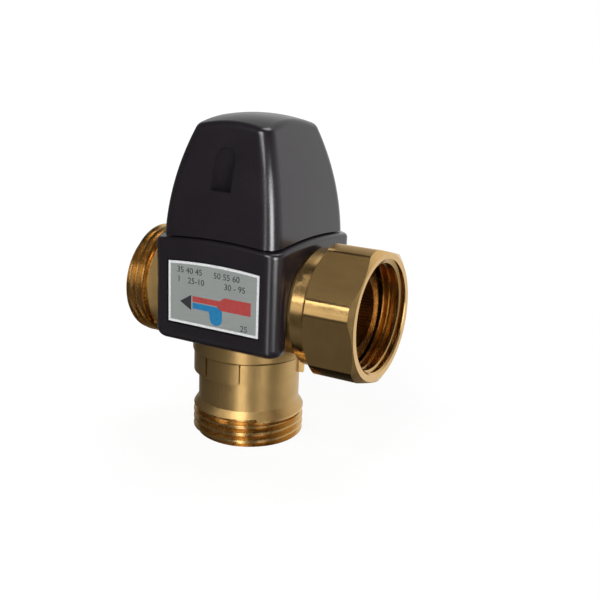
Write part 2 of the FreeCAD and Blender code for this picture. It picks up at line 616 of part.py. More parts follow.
def union_nut():
    body = new_body("union_nut")
    hub = circles(body, "hub_outline", "XY_Plane", [("0", "0", "nut_hub_radius")])
    pad(body, "hub", hub, "nut_hub_length + 1")
    flats = hexagon(body, "flats", "nut_flats", out="nut_hub_length")
    pad(body, "blank", flats, "nut_length - nut_hub_length")
    bevel_reach = "nut_corner_radius + 2"
    rear_slope = "(nut_corner_radius + 2 - nut_rear_radius) / (nut_corner_radius - nut_rear_radius)"
    rear = outline(body, "rear_bevel_outline", "XZ_Plane", [
        ("nut_rear_radius", "nut_hub_length"),
        (bevel_reach, "nut_hub_length + nut_rear_bevel * " + rear_slope),
        (bevel_reach, "nut_hub_length - 1"),
        ("nut_rear_radius", "nut_hub_length - 1"),
    ])
    turned(body, "rear_bevel", rear, cut=True)
    front_slope = "(nut_corner_radius + 2 - nut_face_radius) / (nut_corner_radius - nut_face_radius)"
    front = outline(body, "front_bevel_outline", "XZ_Plane", [
        ("nut_face_radius", "nut_length"),
        ("nut_face_radius", "nut_length + 1"),
        (bevel_reach, "nut_length + 1"),
        (bevel_reach, "nut_length - nut_front_bevel * " + front_slope),
    ])
    turned(body, "front_bevel", front, cut=True)
    corners = outline(body, "corner_outline", "XZ_Plane", [
        ("nut_corner_radius", "-1"),
        (bevel_reach, "-1"),
        (bevel_reach, "nut_length + 1"),
        ("nut_corner_radius", "nut_length + 1"),
    ])
    turned(body, "turned_corners", corners, cut=True)
    bore = outline(body, "bore_outline", "XZ_Plane", [
        ("0", "-1"),
        ("nut_bore_radius", "-1"),
        ("nut_bore_radius", "nut_rear_wall"),
        ("thread_core_radius + nut_relief_depth", "nut_rear_wall"),
        ("thread_core_radius + nut_relief_depth", "nut_thread_start"),
        ("thread_core_radius", "nut_thread_start"),
        ("thread_core_radius", "nut_length - nut_mouth_chamfer"),
        ("thread_core_radius + nut_mouth_chamfer", "nut_length"),
        ("thread_core_radius + nut_mouth_chamfer", "nut_length + 1"),
        ("0", "nut_length + 1"),
    ])
    turned(body, "bore", bore, cut=True)
    along_pipe(body, "nut_start")
    turn = FreeCAD.Rotation(Vector(1, 0, 0), -value("nut_turn") + 90)
    body.Placement.Rotation = turn.multiply(FreeCAD.Rotation(Vector(0, 1, 0), 90))
    return keep(body)


def nut_snap_ring():
    body = new_body("nut_snap_ring")
    centre = "tail_radius - snap_ring_bite + snap_ring_wire / 2"
    wire = circles(body, "wire", "XZ_Plane", [(centre, "0", "snap_ring_wire / 2")])
    turned(body, "ring", wire)
    gap = outline(body, "gap_outline", "XY_Plane", [
        ("tail_radius - 3", "-snap_ring_gap / 2"),
        ("tail_radius + 3", "-snap_ring_gap / 2"),
        ("tail_radius + 3", "snap_ring_gap / 2"),
        ("tail_radius - 3", "snap_ring_gap / 2"),
    ], out="snap_ring_wire")
    pocket(body, "gap", gap, "snap_ring_wire * 2")
    along_pipe(body, "snap_ring_place")
    return keep(body)


def bonnet():
    body = new_body("bonnet")
    floor = "barrel_top - bonnet_thread_length"
    groove_inner = "bonnet_thread_radius - seal_wire"
    profile = outline(body, "bonnet_outline", "XZ_Plane", [
        ("0", floor),
        ("bonnet_thread_radius", floor),
        ("bonnet_thread_radius", "barrel_top - seal_wire - 0.5"),
        (groove_inner, "barrel_top - seal_wire - 0.5"),
        (groove_inner, "barrel_top - 0.3"),
        ("bonnet_thread_radius", "barrel_top - 0.3"),
        ("bonnet_thread_radius", "barrel_top"),
        ("bonnet_flange_radius", "barrel_top"),
        ("bonnet_flange_radius", "flange_top"),
        ("bonnet_tower_radius", "flange_top"),
        ("bonnet_tower_radius", "bonnet_top - 0.8"),
        ("bonnet_tower_radius - 0.8", "bonnet_top"),
        ("0", "bonnet_top"),
    ])
    turned(body, "turned_bonnet", profile)
    pad(body, "hexagon", hexagon(body, "hexagon_outline", "bonnet_hex_flats", out="flange_top"),
        "bonnet_hex_height")
    guide = hexagon(body, "cup_guide_outline", "cup_flats + 2 * cup_clearance", out=floor)
    pocket(body, "cup_guide", guide, "ceiling_bottom - (%s)" % floor, reverse=True)
    through = [("0", "0", "spindle_hole_radius")]
    hole = circles(body, "spindle_hole_outline", "XY_Plane", through, out="bonnet_top")
    pocket(body, "spindle_hole", hole, "bonnet_ceiling")
    return keep(body)


def seal_ring(label, radius, wire, height):
    """A round-section rubber ring on the valve axis."""
    body = new_body(label)
    section = circles(body, "section", "XZ_Plane", [(radius, height, "(%s) / 2" % wire)])
    turned(body, "ring", section)
    return keep(body)


def setting_spindle():
    body = new_body("setting_spindle")
    seal_centre = "ceiling_bottom + bonnet_ceiling / 2"
    seal_floor = "spindle_hole_radius - spindle_seal_wire"
    clip_floor = "spindle_radius - spindle_clip_bite"
    profile = outline(body, "spindle_outline", "XZ_Plane", [
        ("0", "spindle_shoulder_bottom - spindle_thread_length"),
        ("spindle_thread_radius", "spindle_shoulder_bottom - spindle_thread_length"),
        ("spindle_thread_radius", "spindle_shoulder_bottom"),
        ("spindle_shoulder_radius", "spindle_shoulder_bottom"),
        ("spindle_shoulder_radius", "spindle_shoulder_top"),
        ("spindle_radius", "spindle_shoulder_top"),
        ("spindle_radius", seal_centre + " - spindle_seal_wire / 2"),
        (seal_floor, seal_centre + " - spindle_seal_wire / 2"),
        (seal_floor, seal_centre + " + spindle_seal_wire / 2"),
        ("spindle_radius", seal_centre + " + spindle_seal_wire / 2"),
        ("spindle_radius", "spindle_clip_bottom"),
        (clip_floor, "spindle_clip_bottom"),
        (clip_floor, "spindle_clip_bottom + spindle_clip_thickness"),
        ("spindle_radius", "spindle_clip_bottom + spindle_clip_thickness"),
        ("spindle_radius", "spindle_clip_bottom + spindle_clip_thickness + 0.6"),
        ("0", "spindle_clip_bottom + spindle_clip_thickness + 0.6"),
    ])
    turned(body, "turned_spindle", profile)
    side = "spindle_square / 2"
    square = outline(body, "square_outline", "XY_Plane", [
        ("-" + side, "-" + side), (side, "-" + side), (side, side), ("-" + side, side),
    ], out="spindle_clip_bottom + spindle_clip_thickness")
    pad(body, "square_end", square, "spindle_top - spindle_clip_bottom - spindle_clip_thickness")
    hole = circles(body, "knob_screw_hole", "XY_Plane", [("0", "0", "knob_screw_radius")], out="spindle_top")
    pocket(body, "screw_hole", hole, "knob_screw_length")
    return keep(body)


def spindle_clip():
    body = new_body("spindle_clip")
    inner = "spindle_radius - spindle_clip_bite"
    ring = circles(body, "clip_outline", "XY_Plane", [
        ("0", "0", "spindle_clip_radius"),
        ("0", "0", inner),
    ], out="spindle_clip_bottom")
    pad(body, "clip", ring, "spindle_clip_thickness")
    mouth = outline(body, "mouth_outline", "XY_Plane", [
        ("0", "-(%s) * 0.8" % inner),
        ("spindle_clip_radius + 1", "-(%s) * 0.8" % inner),
        ("spindle_clip_radius + 1", "(%s) * 0.8" % inner),
        ("0", "(%s) * 0.8" % inner),
    ], out="spindle_clip_bottom + spindle_clip_thickness")
    pocket(body, "mouth", mouth, "spindle_clip_thickness")
    return keep(body)


def spring_cup():
    body = new_body("spring_cup")
    pad(body, "blank", hexagon(body, "flats", "cup_flats", out="cup_bottom"), "cup_height")
    bore = outline(body, "bore_outline", "XZ_Plane", [
        ("0", "cup_bottom - 1"),
        ("cup_bore_radius", "cup_bottom - 1"),
        ("cup_bore_radius", "clip_height"),
        ("cup_bore_radius + clip_bite", "clip_height"),
        ("cup_bore_radius + clip_bite", "push_disc_bottom"),
        ("cup_bore_radius", "push_disc_bottom"),
        ("cup_bore_radius", "overload_top"),
        ("cup_nut_radius", "overload_top"),
        ("cup_nut_radius", "cup_top + 1"),
        ("0", "cup_top + 1"),
    ])
    turned(body, "bore", bore, cut=True)
    return keep(body)


def cup_clip():
    body = new_body("cup_clip")
    ring = circles(body, "clip_outline", "XY_Plane", [
        ("0", "0", "cup_bore_radius + clip_bite"),
        ("0", "0", "cup_bore_radius - 1.4"),
    ], out="clip_height")
    pad(body, "clip", ring, "clip_wire")
    mouth = outline(body, "mouth_outline", "XY_Plane", [
        ("0", "-1.5"), ("cup_bore_radius + 2", "-1.5"), ("cup_bore_radius + 2", "1.5"), ("0", "1.5"),
    ], out="push_disc_bottom")
    pocket(body, "mouth", mouth, "clip_wire")
    return keep(body)


def spring(label, radius, wire, turns, bottom, top):
    """A coil spring about the valve axis with both ends ground flat."""
    body = new_body(label)
    section = circles(body, "wire", "XZ_Plane", [(radius, bottom, "(%s) / 2" % wire)])
    coil = body.newObject("PartDesign::AdditiveHelix", "coil")
    coil.Profile = section
    coil.ReferenceAxis = (section, ["V_Axis"])
    coil.Mode = "height-turns-angle"
    coil.setExpression("Height", bound("(%s) - (%s)" % (top, bottom)))
    coil.setExpression("Turns", bound(turns))
    checked(body, coil, True)
    reach = "(%s) + (%s)" % (radius, wire)
    for name, plane_height, direction in (("lower_end", bottom, "-"), ("upper_end", top, "+")):
        far = "(%s) %s (%s)" % (plane_height, direction, wire)
        grind = outline(body, name + "_outline", "XZ_Plane", [
            ("0", plane_height), (reach, plane_height), (reach, far), ("0", far),
        ])
        turned(body, name, grind, cut=True)
    return keep(body)


def push_disc():
    body = new_body("push_disc")
    profile = outline(body, "disc_outline", "XZ_Plane", [
        ("0", "push_disc_bottom"),
        ("cup_bore_radius - 0.1", "push_disc_bottom"),
        ("cup_bore_radius - 0.1", "push_disc_top"),
        ("0", "push_disc_top"),
    ])
    turned(body, "disc", profile)
    return keep(body)


def sensor_element():
    body = new_body("sensor_element")
    collar_top = "sensor_collar_bottom + sensor_collar_height"
    bore = "piston_radius + 0.05"
    bore_floor = "guide_top - piston_depth"
    profile = outline(body, "sensor_outline", "XZ_Plane", [
        ("0", "cold_disc_bottom"),
        ("stud_radius", "cold_disc_bottom"),
        ("stud_radius", "sensor_bottom"),
        ("sensor_radius - 1", "sensor_bottom"),
        ("sensor_radius", "sensor_bottom + 1"),
        ("sensor_radius", "sensor_collar_bottom"),
        ("sensor_collar_radius", "sensor_collar_bottom"),
        ("sensor_collar_radius", collar_top),
        ("guide_radius + 1.5", collar_top),
        ("guide_radius", collar_top + " + 2.5"),
        ("guide_radius", "guide_top"),
        (bore, "guide_top"),
        (bore, bore_floor),
        ("0", bore_floor),
    ])
    turned(body, "turned_sensor", profile)
    return keep(body)


def sensor_piston():
    body = new_body("sensor_piston")
    bottom = "guide_top - piston_depth"
    profile = outline(body, "piston_outline", "XZ_Plane", [
        ("0", bottom),
        ("piston_radius", bottom),
        ("piston_radius", "push_disc_bottom"),
        ("0", "push_disc_bottom"),
    ])
    turned(body, "piston", profile)
    return keep(body)


def hot_disc():
    body = new_body("hot_disc")
    top = "hot_disc_bottom + disc_thickness"
    profile = outline(body, "disc_outline", "XZ_Plane", [
        ("guide_radius", "hot_disc_bottom - 1.2"),
        ("guide_radius + 1.8", "hot_disc_bottom - 1.2"),
        ("guide_radius + 2.6", "hot_disc_bottom"),
        ("hot_disc_radius - 0.6", "hot_disc_bottom"),
        ("hot_disc_radius", "hot_disc_bottom + 0.6"),
        ("hot_disc_radius", top),
        ("guide_radius", top),
    ])
    turned(body, "disc", profile)
    return keep(body)


def cold_disc():
    body = new_body("cold_disc")
    profile = outline(body, "disc_outline", "XZ_Plane", [
        ("stud_radius", "cold_disc_bottom"),
        ("cold_disc_radius - 1.6", "cold_disc_bottom"),
        ("cold_disc_radius", "cold_disc_bottom + 1.0"),
        ("cold_disc_radius", "cold_disc_top - 0.4"),
        ("cold_disc_radius - 0.4", "cold_disc_top"),
        ("stud_radius", "cold_disc_top"),
    ])
    turned(body, "disc", profile)
    return keep(body)


def cover_outline(body, name, corner, out, inset="0"):
    return rounded_oblong(body, name, "cover_half", "cover_half", "cover_back", corner, out, inset)


def cap_outline(body, name, corner, out, inset="0"):
    return rounded_oblong(body, name, "cap_side", "cap_front", "cap_back", corner, out, inset)


def housing():
    block = new_body("housing_block")
    outer = cover_outline(block, "outer_outline", "cover_corner", "housing_bottom")
    raised = pad(block, "outer", outer, "parting_rise + 2 + barrel_top - housing_bottom")
    floor = value("housing_bottom") + 0.01
    lower_edges = edges_where(raised.Shape, lambda box: box.ZMax < floor)
    rounded(block, "lower_edge", raised, lower_edges, "housing_edge")
    inside = cover_outline(block, "inner_outline", "cover_corner - cover_wall", "barrel_top", "cover_wall")
    pocket(block, "inside", inside, "barrel_top - housing_bottom - housing_rim_height")
    mouth = cover_outline(block, "mouth_outline", "cover_corner - housing_rim_wall", "barrel_top",
                          "housing_rim_wall")
    pocket(block, "mouth", mouth, "barrel_top - housing_bottom + 1")
    above = cap_outline(block, "deck_outline", "lip_corner - lip_wall / 2", "deck_top",
                        "lip_inset + lip_wall / 2")
    pocket(block, "above_deck", above, "lip_top", reverse=True)
    hole = circles(block, "deck_hole_outline", "XY_Plane", [
        ("0", "0", "deck_hole_radius"),
        ("lug_offset", "lug_offset", "screw_radius + screw_hole_gap"),
        ("-lug_offset", "-lug_offset", "screw_radius + screw_hole_gap"),
    ], out="deck_top")
    pocket(block, "deck_holes", hole, "deck_thickness + 1")

    slots = outline(block, "slot_outline", "YZ_Plane", [
        ("-slot_radius", "housing_bottom - 1"),
        ("slot_radius", "housing_bottom - 1"),
        ("slot_radius", "pipe_axis_height"),
        ("0", "pipe_axis_height + slot_radius"),
        ("-slot_radius", "pipe_axis_height"),
    ], {2: ("slot_radius", 1), 3: ("slot_radius", 1)}, out="cover_half + 1")
    pocket(block, "arm_slots", slots, "2 * cover_half + 2")

    recess = outline(block, "recess_outline", "XZ_Plane", [
        ("recess_left", "recess_bottom"),
        ("recess_right", "recess_bottom"),
        ("recess_right", "recess_side_top"),
        ("recess_left", "recess_side_top"),
    ], {2: ("recess_arch", 1)}, out="cover_half - recess_depth")
    pocket(block, "label_recess", recess, "recess_depth + 1", reverse=True)

    lip = new_body("cap_lip")
    ring = cap_outline(lip, "lip_outline", "lip_corner", "deck_top - 0.5", "lip_inset")
    pad(lip, "lip_block", ring, "lip_top - deck_top + 0.5")
    core = cap_outline(lip, "lip_core", "lip_corner - lip_wall", "lip_top", "lip_inset + lip_wall")
    pocket(lip, "lip_inside", core, "lip_top")

    crown = sphere("housing_crown", "parting_dome", "parting_height")
    domed = doc.addObject("Part::Common", "domed_housing")
    domed.Base = block
    domed.Tool = crown
    doc.recompute()
    side, back = value("cap_side"), value("cap_back")
    soft = softened("soft_housing", domed, "housing_shoulder",
                    lambda edge, middle: on_crown(middle, crown.Shape)
                    and (abs(middle.x) > side or -middle.y > side or middle.y > back))
    whole = doc.addObject("Part::Fuse", "housing")
    whole.Label = "housing"
    whole.Base = soft
    whole.Tool = lip
    doc.recompute()
    return keep(whole)


def label():
    body = new_body("label")
    left = "recess_left + label_margin"
    right = "recess_right - label_margin"
    low = "recess_bottom + label_margin"
    high = "recess_side_top - label_margin"
    face = outline(body, "label_outline", "XZ_Plane", [
        (left, low), (right, low), (right, high), (left, high),
    ], {2: ("recess_arch", 1)}, out="cover_half - recess_depth")
    pad(body, "foil", face, "label_thickness")
    return keep(body)


def housing_screws():
    """The two screws that hold the housing, as one group of separate solids."""
    solids = []
    reach = value("lug_offset")
    for sign in (1, -1):
        spot = Vector(sign * reach, sign * reach, value("deck_top"))
        down = Vector(0, 0, -1)
        shank = Part.makeCylinder(value("screw_radius"), value("screw_length"), spot, down)
        head = Part.makeCylinder(value("screw_head_radius"), value("screw_head_height"), spot)
        head_top = value("deck_top + screw_head_height")
        rim = [edge for edge in head.Edges if edge.BoundBox.ZMin > head_top - 0.01]
        head = head.makeFillet(value("screw_head_height") * 0.6, rim)
        drive = value("screw_head_radius") * 1.1
        slot_depth = value("screw_head_height") * 0.5
        top = spot + Vector(0, 0, value("screw_head_height") - slot_depth)
        width = value("screw_slot_width")
        cross = Part.makeBox(drive, width, slot_depth + 1, top - Vector(drive / 2, width / 2, 0))
        other = Part.makeBox(width, drive, slot_depth + 1, top - Vector(width / 2, drive / 2, 0))
        solids.append(shank.fuse(head).cut(cross).cut(other).removeSplitter())
    screws = doc.addObject("Part::Feature", "housing_screws")
    screws.Label = "housing_screws"
    screws.Shape = Part.makeCompound([solid.Solids[0] for solid in solids])
    return keep(screws)


def scale_ring():
    body = new_body("scale_ring")
    ring = circles(body, "ring_outline", "XY_Plane", [
        ("0", "0", "scale_outer_radius"),
        ("0", "0", "bonnet_tower_radius + scale_gap"),
    ], out="hex_top")
    pad(body, "ring", ring, "scale_thickness")
    tick = outline(body, "tick_outline", "XY_Plane", [
        ("knob_radius + 0.8", "-0.25"),
        ("scale_outer_radius - 0.5", "-0.25"),
        ("scale_outer_radius - 0.5", "0.25"),
        ("knob_radius + 0.8", "0.25"),
    ], out="hex_top + scale_thickness - 0.1")
    raised = pad(body, "tick", tick, "scale_tick_height + 0.1")
    around(body, "ticks", raised, "scale_ticks + 1")
    return keep(body)


def setting_knob():
    body = new_body("setting_knob")
    inner = "knob_radius - knob_wall"
    ceiling = "knob_top - knob_roof"
    square = "spindle_square / 2 + 0.05"
    profile = outline(body, "knob_outline", "XZ_Plane", [
        ("0", ceiling),
        (inner, ceiling),
        (inner, "knob_bottom"),
        ("knob_radius", "knob_bottom"),
        ("knob_radius", "knob_top - 1.2"),
        ("knob_radius - 1.2", "knob_top"),
        ("0", "knob_top"),
    ], {4: ("1.2", 1)})
    turned(body, "turned_knob", profile)
    socket = outline(body, "socket_outline", "XY_Plane", [
        ("-(%s)" % square, "-(%s)" % square),
        (square, "-(%s)" % square),
        (square, square),
        ("-(%s)" % square, square),
    ], out=ceiling + " - 3")
    pocket(body, "socket", socket, "spindle_top + 0.1 - (%s) + 3" % ceiling, reverse=True)
    through = [("0", "0", "knob_screw_radius + 0.1")]
    hole = circles(body, "screw_hole_outline", "XY_Plane", through, out="knob_top")
    pocket(body, "screw_hole", hole, "knob_roof")
    flute = circles(body, "flute_outline", "XY_Plane", [
        ("knob_radius + knob_flute_radius - knob_flute_depth", "0", "knob_flute_radius"),
    ], out="knob_bottom + 2")
    cut = pocket(body, "flute", flute, "knob_top - knob_bottom", reverse=True)
    around(body, "flutes", cut, "knob_flutes")
    return keep(body)


def knob_screw():
    body = new_body("knob_screw")
    profile = outline(body, "screw_outline", "XZ_Plane", [
        ("0", "spindle_top - knob_screw_length + 0.5"),
        ("knob_screw_radius", "spindle_top - knob_screw_length + 0.5"),
        ("knob_screw_radius", "knob_top"),
        ("knob_screw_head_radius", "knob_top"),
        ("knob_screw_head_radius", "knob_top + knob_screw_head_height - 0.8"),
        ("knob_screw_head_radius - 0.8", "knob_top + knob_screw_head_height"),
        ("0", "knob_top + knob_screw_head_height"),
    ], {4: ("0.8", 1)})
    turned(body, "turned_screw", profile)
    slot = outline(body, "slot_outline", "XY_Plane", [
        ("-knob_screw_head_radius", "-0.4"),
        ("knob_screw_head_radius", "-0.4"),
        ("knob_screw_head_radius", "0.4"),
        ("-knob_screw_head_radius", "0.4"),
    ], out="knob_top + knob_screw_head_height")
    pocket(body, "slot", slot, "knob_screw_head_height / 2")
    return keep(body)


def on_crown(point, crown):
    """True for a point that lies on the outside of a crown."""
    return Part.Vertex(point).distToShape(crown.Faces[0])[0] < 0.01


def softened(name, base, radius, choose):
    """Rounds the edges of a solid that are chosen by the edge and its middle point."""
    soft = doc.addObject("Part::Fillet", name)
    soft.Base = base
    chosen = []
    for number, edge in enumerate(base.Shape.Edges, start=1):
        middle = edge.valueAt((edge.FirstParameter + edge.LastParameter) / 2)
        if choose(edge, middle):
            chosen.append((number, value(radius), value(radius)))
    soft.Edges = chosen
    return soft


def cap():
    body = new_body("cap_shell")
    foot = "parting_height - cap_foot_drop"
    outer = [
        cap_outline(body, "outer_foot", "cap_foot_corner", foot),
        cap_outline(body, "outer_middle", "cap_middle_corner", "cap_middle_height", "cap_middle_in"),
        cap_outline(body, "outer_head", "cap_head_corner", "cap_head_height", "cap_head_in"),
    ]
    loft(body, "outer", outer)
    inner = [
        cap_outline(body, "inner_foot", "cap_foot_corner - cap_wall", foot + " - 0.01", "cap_wall"),
        cap_outline(body, "inner_middle", "cap_middle_corner - cap_wall", "cap_middle_height",
                    "cap_middle_in + cap_wall"),
        cap_outline(body, "inner_head", "cap_head_corner - cap_wall", "cap_inner_top",
                    "cap_inner_in + 0.9 * cap_wall"),
    ]
    loft(body, "inside", inner, cut=True)
    boss = outline(body, "thumb_boss_outline", "YZ_Plane", [
        ("-(thumb_floor - thumb_wall)", "thumb_bottom - thumb_wall"),
        ("-(cap_front - cap_middle_in - cap_wall / 2)", "thumb_bottom - thumb_wall"),
        ("-(thumb_floor - 0.4)", "thumb_side_top + thumb_wall"),
        ("-(thumb_floor - thumb_wall)", "thumb_side_top + 2 * thumb_wall"),
    ], out="thumb_left - thumb_wall")
    pad(body, "thumb_boss", boss, "thumb_right - thumb_left + 2 * thumb_wall")
    arch = "(thumb_right - thumb_left) / 2"
    middle = "(thumb_right + thumb_left) / 2"
    thumb = outline(body, "thumb_outline", "XZ_Plane", [
        ("thumb_left", "thumb_bottom"),
        ("thumb_right", "thumb_bottom"),
        ("thumb_right", "thumb_side_top"),
        (middle, "thumb_side_top + (%s)" % arch),
        ("thumb_left", "thumb_side_top"),
    ], {2: (arch, 1), 3: (arch, 1)}, out="thumb_floor")
    pocket(body, "thumb_recess", thumb, "cap_front", reverse=True)

    crown = sphere("cap_crown", "cap_dome", "cap_top")
    crown.setExpression(".Placement.Base.y", bound("cap_dome_back"))
    domed = doc.addObject("Part::Common", "domed_cap")
    domed.Base = body
    domed.Tool = crown
    doc.recompute()
    rim_floor = value("thumb_side_top")
    soft = softened("soft_cap", domed, "cap_edge",
                    lambda edge, middle: edge.BoundBox.ZMin > rim_floor and on_crown(middle, crown.Shape))
    seat = sphere("cap_seat", "parting_dome + parting_gap", "parting_height + parting_gap")
    seated = doc.addObject("Part::Cut", "seated_cap")
    seated.Base = soft
    seated.Tool = seat
    doc.recompute()
    seated.Label = "cap"
    return keep(seated)


def build():
    fill_sheet()
    valve_body()
    union_nut()
    nut_snap_ring()
    bonnet()
    seal_ring("bonnet_seal", "bonnet_thread_radius - seal_wire / 2", "seal_wire",
              "barrel_top - 0.4 - seal_wire / 2")
    setting_spindle()
    seal_ring("spindle_seal", "spindle_hole_radius - spindle_seal_wire / 2", "spindle_seal_wire",
              "ceiling_bottom + bonnet_ceiling / 2")
    spindle_clip()
    spring_cup()
    cup_clip()
    push_disc()
    spring("overload_spring", "cup_bore_radius - overload_wire / 2 - 0.2", "overload_wire", "overload_turns",
           "push_disc_top", "overload_top")
    sensor_element()
    sensor_piston()
    hot_disc()
    cold_disc()
    spring("return_spring", "sensor_collar_radius - return_wire / 2", "return_wire", "return_turns",
           "cold_seat_top", "sensor_collar_bottom")
    housing()
    label()
    housing_screws()
    scale_ring()
    setting_knob()
    knob_screw()
    cap()


def check():
    """Stops on any failed object and on any sub-part without a sound shape."""
    doc.recompute()
    for item in doc.Objects:
        if "Invalid" in item.State or "Error" in item.State:
            raise RuntimeError("%s failed: %s" % (item.Label, item.State))
    for part in SUB_PARTS:
        if part.Shape.isNull() or not part.Shape.isValid():
            raise RuntimeError("%s has no sound shape" % part.Label)


def export():
    os.makedirs("parts", exist_ok=True)
    for part in SUB_PARTS:
        part.Shape.exportStep("parts/%s.step" % part.Label)
        print("%-18s %9.1f mm3 %d solid" % (part.Label, part.Shape.Volume, len(part.Shape.Solids)))


build()
check()
export()
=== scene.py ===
"""The looks of a thermostatic mixing valve: its pipe threads, printed label, finishes and studio."""

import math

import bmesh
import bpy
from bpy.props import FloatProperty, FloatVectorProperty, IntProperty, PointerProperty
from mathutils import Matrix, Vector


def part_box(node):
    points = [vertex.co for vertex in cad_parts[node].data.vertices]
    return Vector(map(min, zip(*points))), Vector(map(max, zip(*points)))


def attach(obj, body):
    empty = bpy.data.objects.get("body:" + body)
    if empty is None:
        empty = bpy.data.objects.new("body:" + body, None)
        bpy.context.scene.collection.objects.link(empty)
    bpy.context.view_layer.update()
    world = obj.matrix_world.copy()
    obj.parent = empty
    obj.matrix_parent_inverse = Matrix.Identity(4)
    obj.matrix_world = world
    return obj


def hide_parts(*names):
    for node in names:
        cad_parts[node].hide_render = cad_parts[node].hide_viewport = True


bl_info = {
    "name": "Thermostatic Mixing Valve",
    "version": (1, 0, 0),
    "blender": (4, 5, 0),
    "location": "3D View > Sidebar > Valve",
    "description": "Threads, print and finishes of a thermostatic mixing valve, with its studio",
    "category": "Add Mesh",
}

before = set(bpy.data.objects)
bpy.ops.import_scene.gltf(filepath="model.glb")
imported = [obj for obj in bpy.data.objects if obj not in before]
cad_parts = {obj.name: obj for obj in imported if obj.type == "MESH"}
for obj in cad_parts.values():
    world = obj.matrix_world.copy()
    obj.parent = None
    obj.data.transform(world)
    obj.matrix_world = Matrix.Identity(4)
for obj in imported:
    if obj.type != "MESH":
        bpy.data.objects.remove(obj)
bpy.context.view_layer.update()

MM = 0.001
MERGE_DISTANCE = 0.001 * MM
SHARP_ANGLE = math.radians(28)

# The axis of the side ports crosses the valve's own axis at this height.
PIPE_AXIS = Vector((0, 0, 42 * MM))
THREAD_RADIUS = 16.6 * MM
CORE_RADIUS = 15.15 * MM
THREAD_LENGTH = 6.6 * MM
COLLAR_END = 8.0 * MM
OUTLET_REACH = 34 * MM
NUT_THREAD_START = 35.3 * MM
NUT_LOW, NUT_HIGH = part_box("union_nut")
LABEL_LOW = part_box("label")[0]
KNOB_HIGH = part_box("setting_knob")[1]


class PipeThread(bpy.types.PropertyGroup):
    """The sizes of the pipe thread on the ports and in the nut."""

    pitch: FloatProperty(name="Pitch", description="Advance of one turn", default=2.309 * MM, unit="LENGTH")
    crest_flat: FloatProperty(
        name="Crest", description="Width that is left between two grooves", default=0.42 * MM, unit="LENGTH")
    root_flat: FloatProperty(
        name="Root", description="Width of the groove's bottom", default=0.36 * MM, unit="LENGTH")
    overcut: FloatProperty(
        name="Overcut", description="How far the cutter stands out of the metal", default=0.5 * MM, unit="LENGTH")
    steps: IntProperty(name="Steps", description="Faces in one turn", default=96, min=12)
    edge_break: FloatProperty(
        name="Broken edges", description="Rounding of the nut's long edges", default=1.1 * MM, unit="LENGTH")


class LabelPrint(bpy.types.PropertyGroup):
    """The sizes and colours of the print on the label."""

    ink_height: FloatProperty(
        name="Ink", description="How far the print stands out of the foil", default=0.04 * MM, unit="LENGTH")
    border_width: FloatProperty(
        name="Border", description="Width of the pale border", default=0.7 * MM, unit="LENGTH")
    figure_height: FloatProperty(
        name="Figures", description="Height of the printed figures", default=1.7 * MM, unit="LENGTH")
    foil: FloatVectorProperty(
        name="Foil", description="Colour of the silver foil", subtype="COLOR", default=(0.37, 0.395, 0.38))
    border: FloatVectorProperty(
        name="Border colour", description="Colour of the border", subtype="COLOR", default=(0.72, 0.73, 0.73))
    ink: FloatVectorProperty(
        name="Ink colour", description="Colour of figures and arrow head", subtype="COLOR",
        default=(0.03, 0.03, 0.035))
    hot: FloatVectorProperty(
        name="Hot", description="Colour of the hot water's path", subtype="COLOR", default=(0.40, 0.05, 0.045))
    cold: FloatVectorProperty(
        name="Cold", description="Colour of the cold water's path", subtype="COLOR", default=(0.008, 0.18, 0.39))


class Finishes(bpy.types.PropertyGroup):
    """The colours of the metals and plastics."""

    cast_brass: FloatVectorProperty(
        name="Cast brass", description="Blasted casting", subtype="COLOR", default=(0.57, 0.37, 0.145))
    turned_brass: FloatVectorProperty(
        name="Turned brass", description="Machined brass", subtype="COLOR", default=(0.64, 0.405, 0.155))
    steel: FloatVectorProperty(
        name="Steel", description="Stainless wire and plated screws", subtype="COLOR",
        default=(0.60, 0.60, 0.61))
    black_plastic: FloatVectorProperty(
        name="Black plastic", description="Cap and housing", subtype="COLOR", default=(0.0086, 0.0066, 0.0084))
    grey_plastic: FloatVectorProperty(
        name="Grey plastic", description="Knob and scale", subtype="COLOR", default=(0.30, 0.31, 0.32))
    rubber: FloatVectorProperty(
        name="Rubber", description="Seals", subtype="COLOR", default=(0.02, 0.02, 0.02))


class Studio(bpy.types.PropertyGroup):
    """The camera and the light."""

    azimuth: FloatProperty(
        name="Azimuth", description="Camera round the valve", subtype="ANGLE", default=math.radians(28.76))
    elevation: FloatProperty(
        name="Elevation", description="Camera above the horizon", subtype="ANGLE", default=math.radians(15.55))
    roll: FloatProperty(
        name="Roll", description="Turn of the picture", subtype="ANGLE", default=math.radians(2.28))
    distance: FloatProperty(
        name="Distance", description="Camera to the valve", default=273.2 * MM, unit="LENGTH")
    aside: FloatProperty(
        name="Aside", description="Picture's middle right of the valve", default=14.41 * MM, unit="LENGTH")
    below: FloatProperty(
        name="Below", description="Picture's middle under the pipe axis", default=1.98 * MM, unit="LENGTH")
    lens: FloatProperty(name="Lens", description="Focal length in millimetres", default=55.41)
    floor_radius: FloatProperty(name="Floor", description="Radius of the floor", default=6.0, unit="LENGTH")
    white_side: FloatProperty(
        name="White side", description="Azimuth of the room's white side", subtype="ANGLE",
        default=math.radians(165))
    dim_level: FloatProperty(name="Dim side", description="Brightness of the room in front", default=0.09)
    overhead_level: FloatProperty(
        name="Overhead", description="Share of the brightness that is left overhead", default=0.35)


def direction(azimuth, elevation):
    """The unit vector from the valve towards a place; azimuth 0 is the label's side."""
    level = math.cos(elevation)
    return Vector((math.sin(azimuth) * level, -math.cos(azimuth) * level, math.sin(elevation)))


def link(item):
    """Puts a new object into the scene."""
    bpy.context.scene.collection.objects.link(item)
    return item


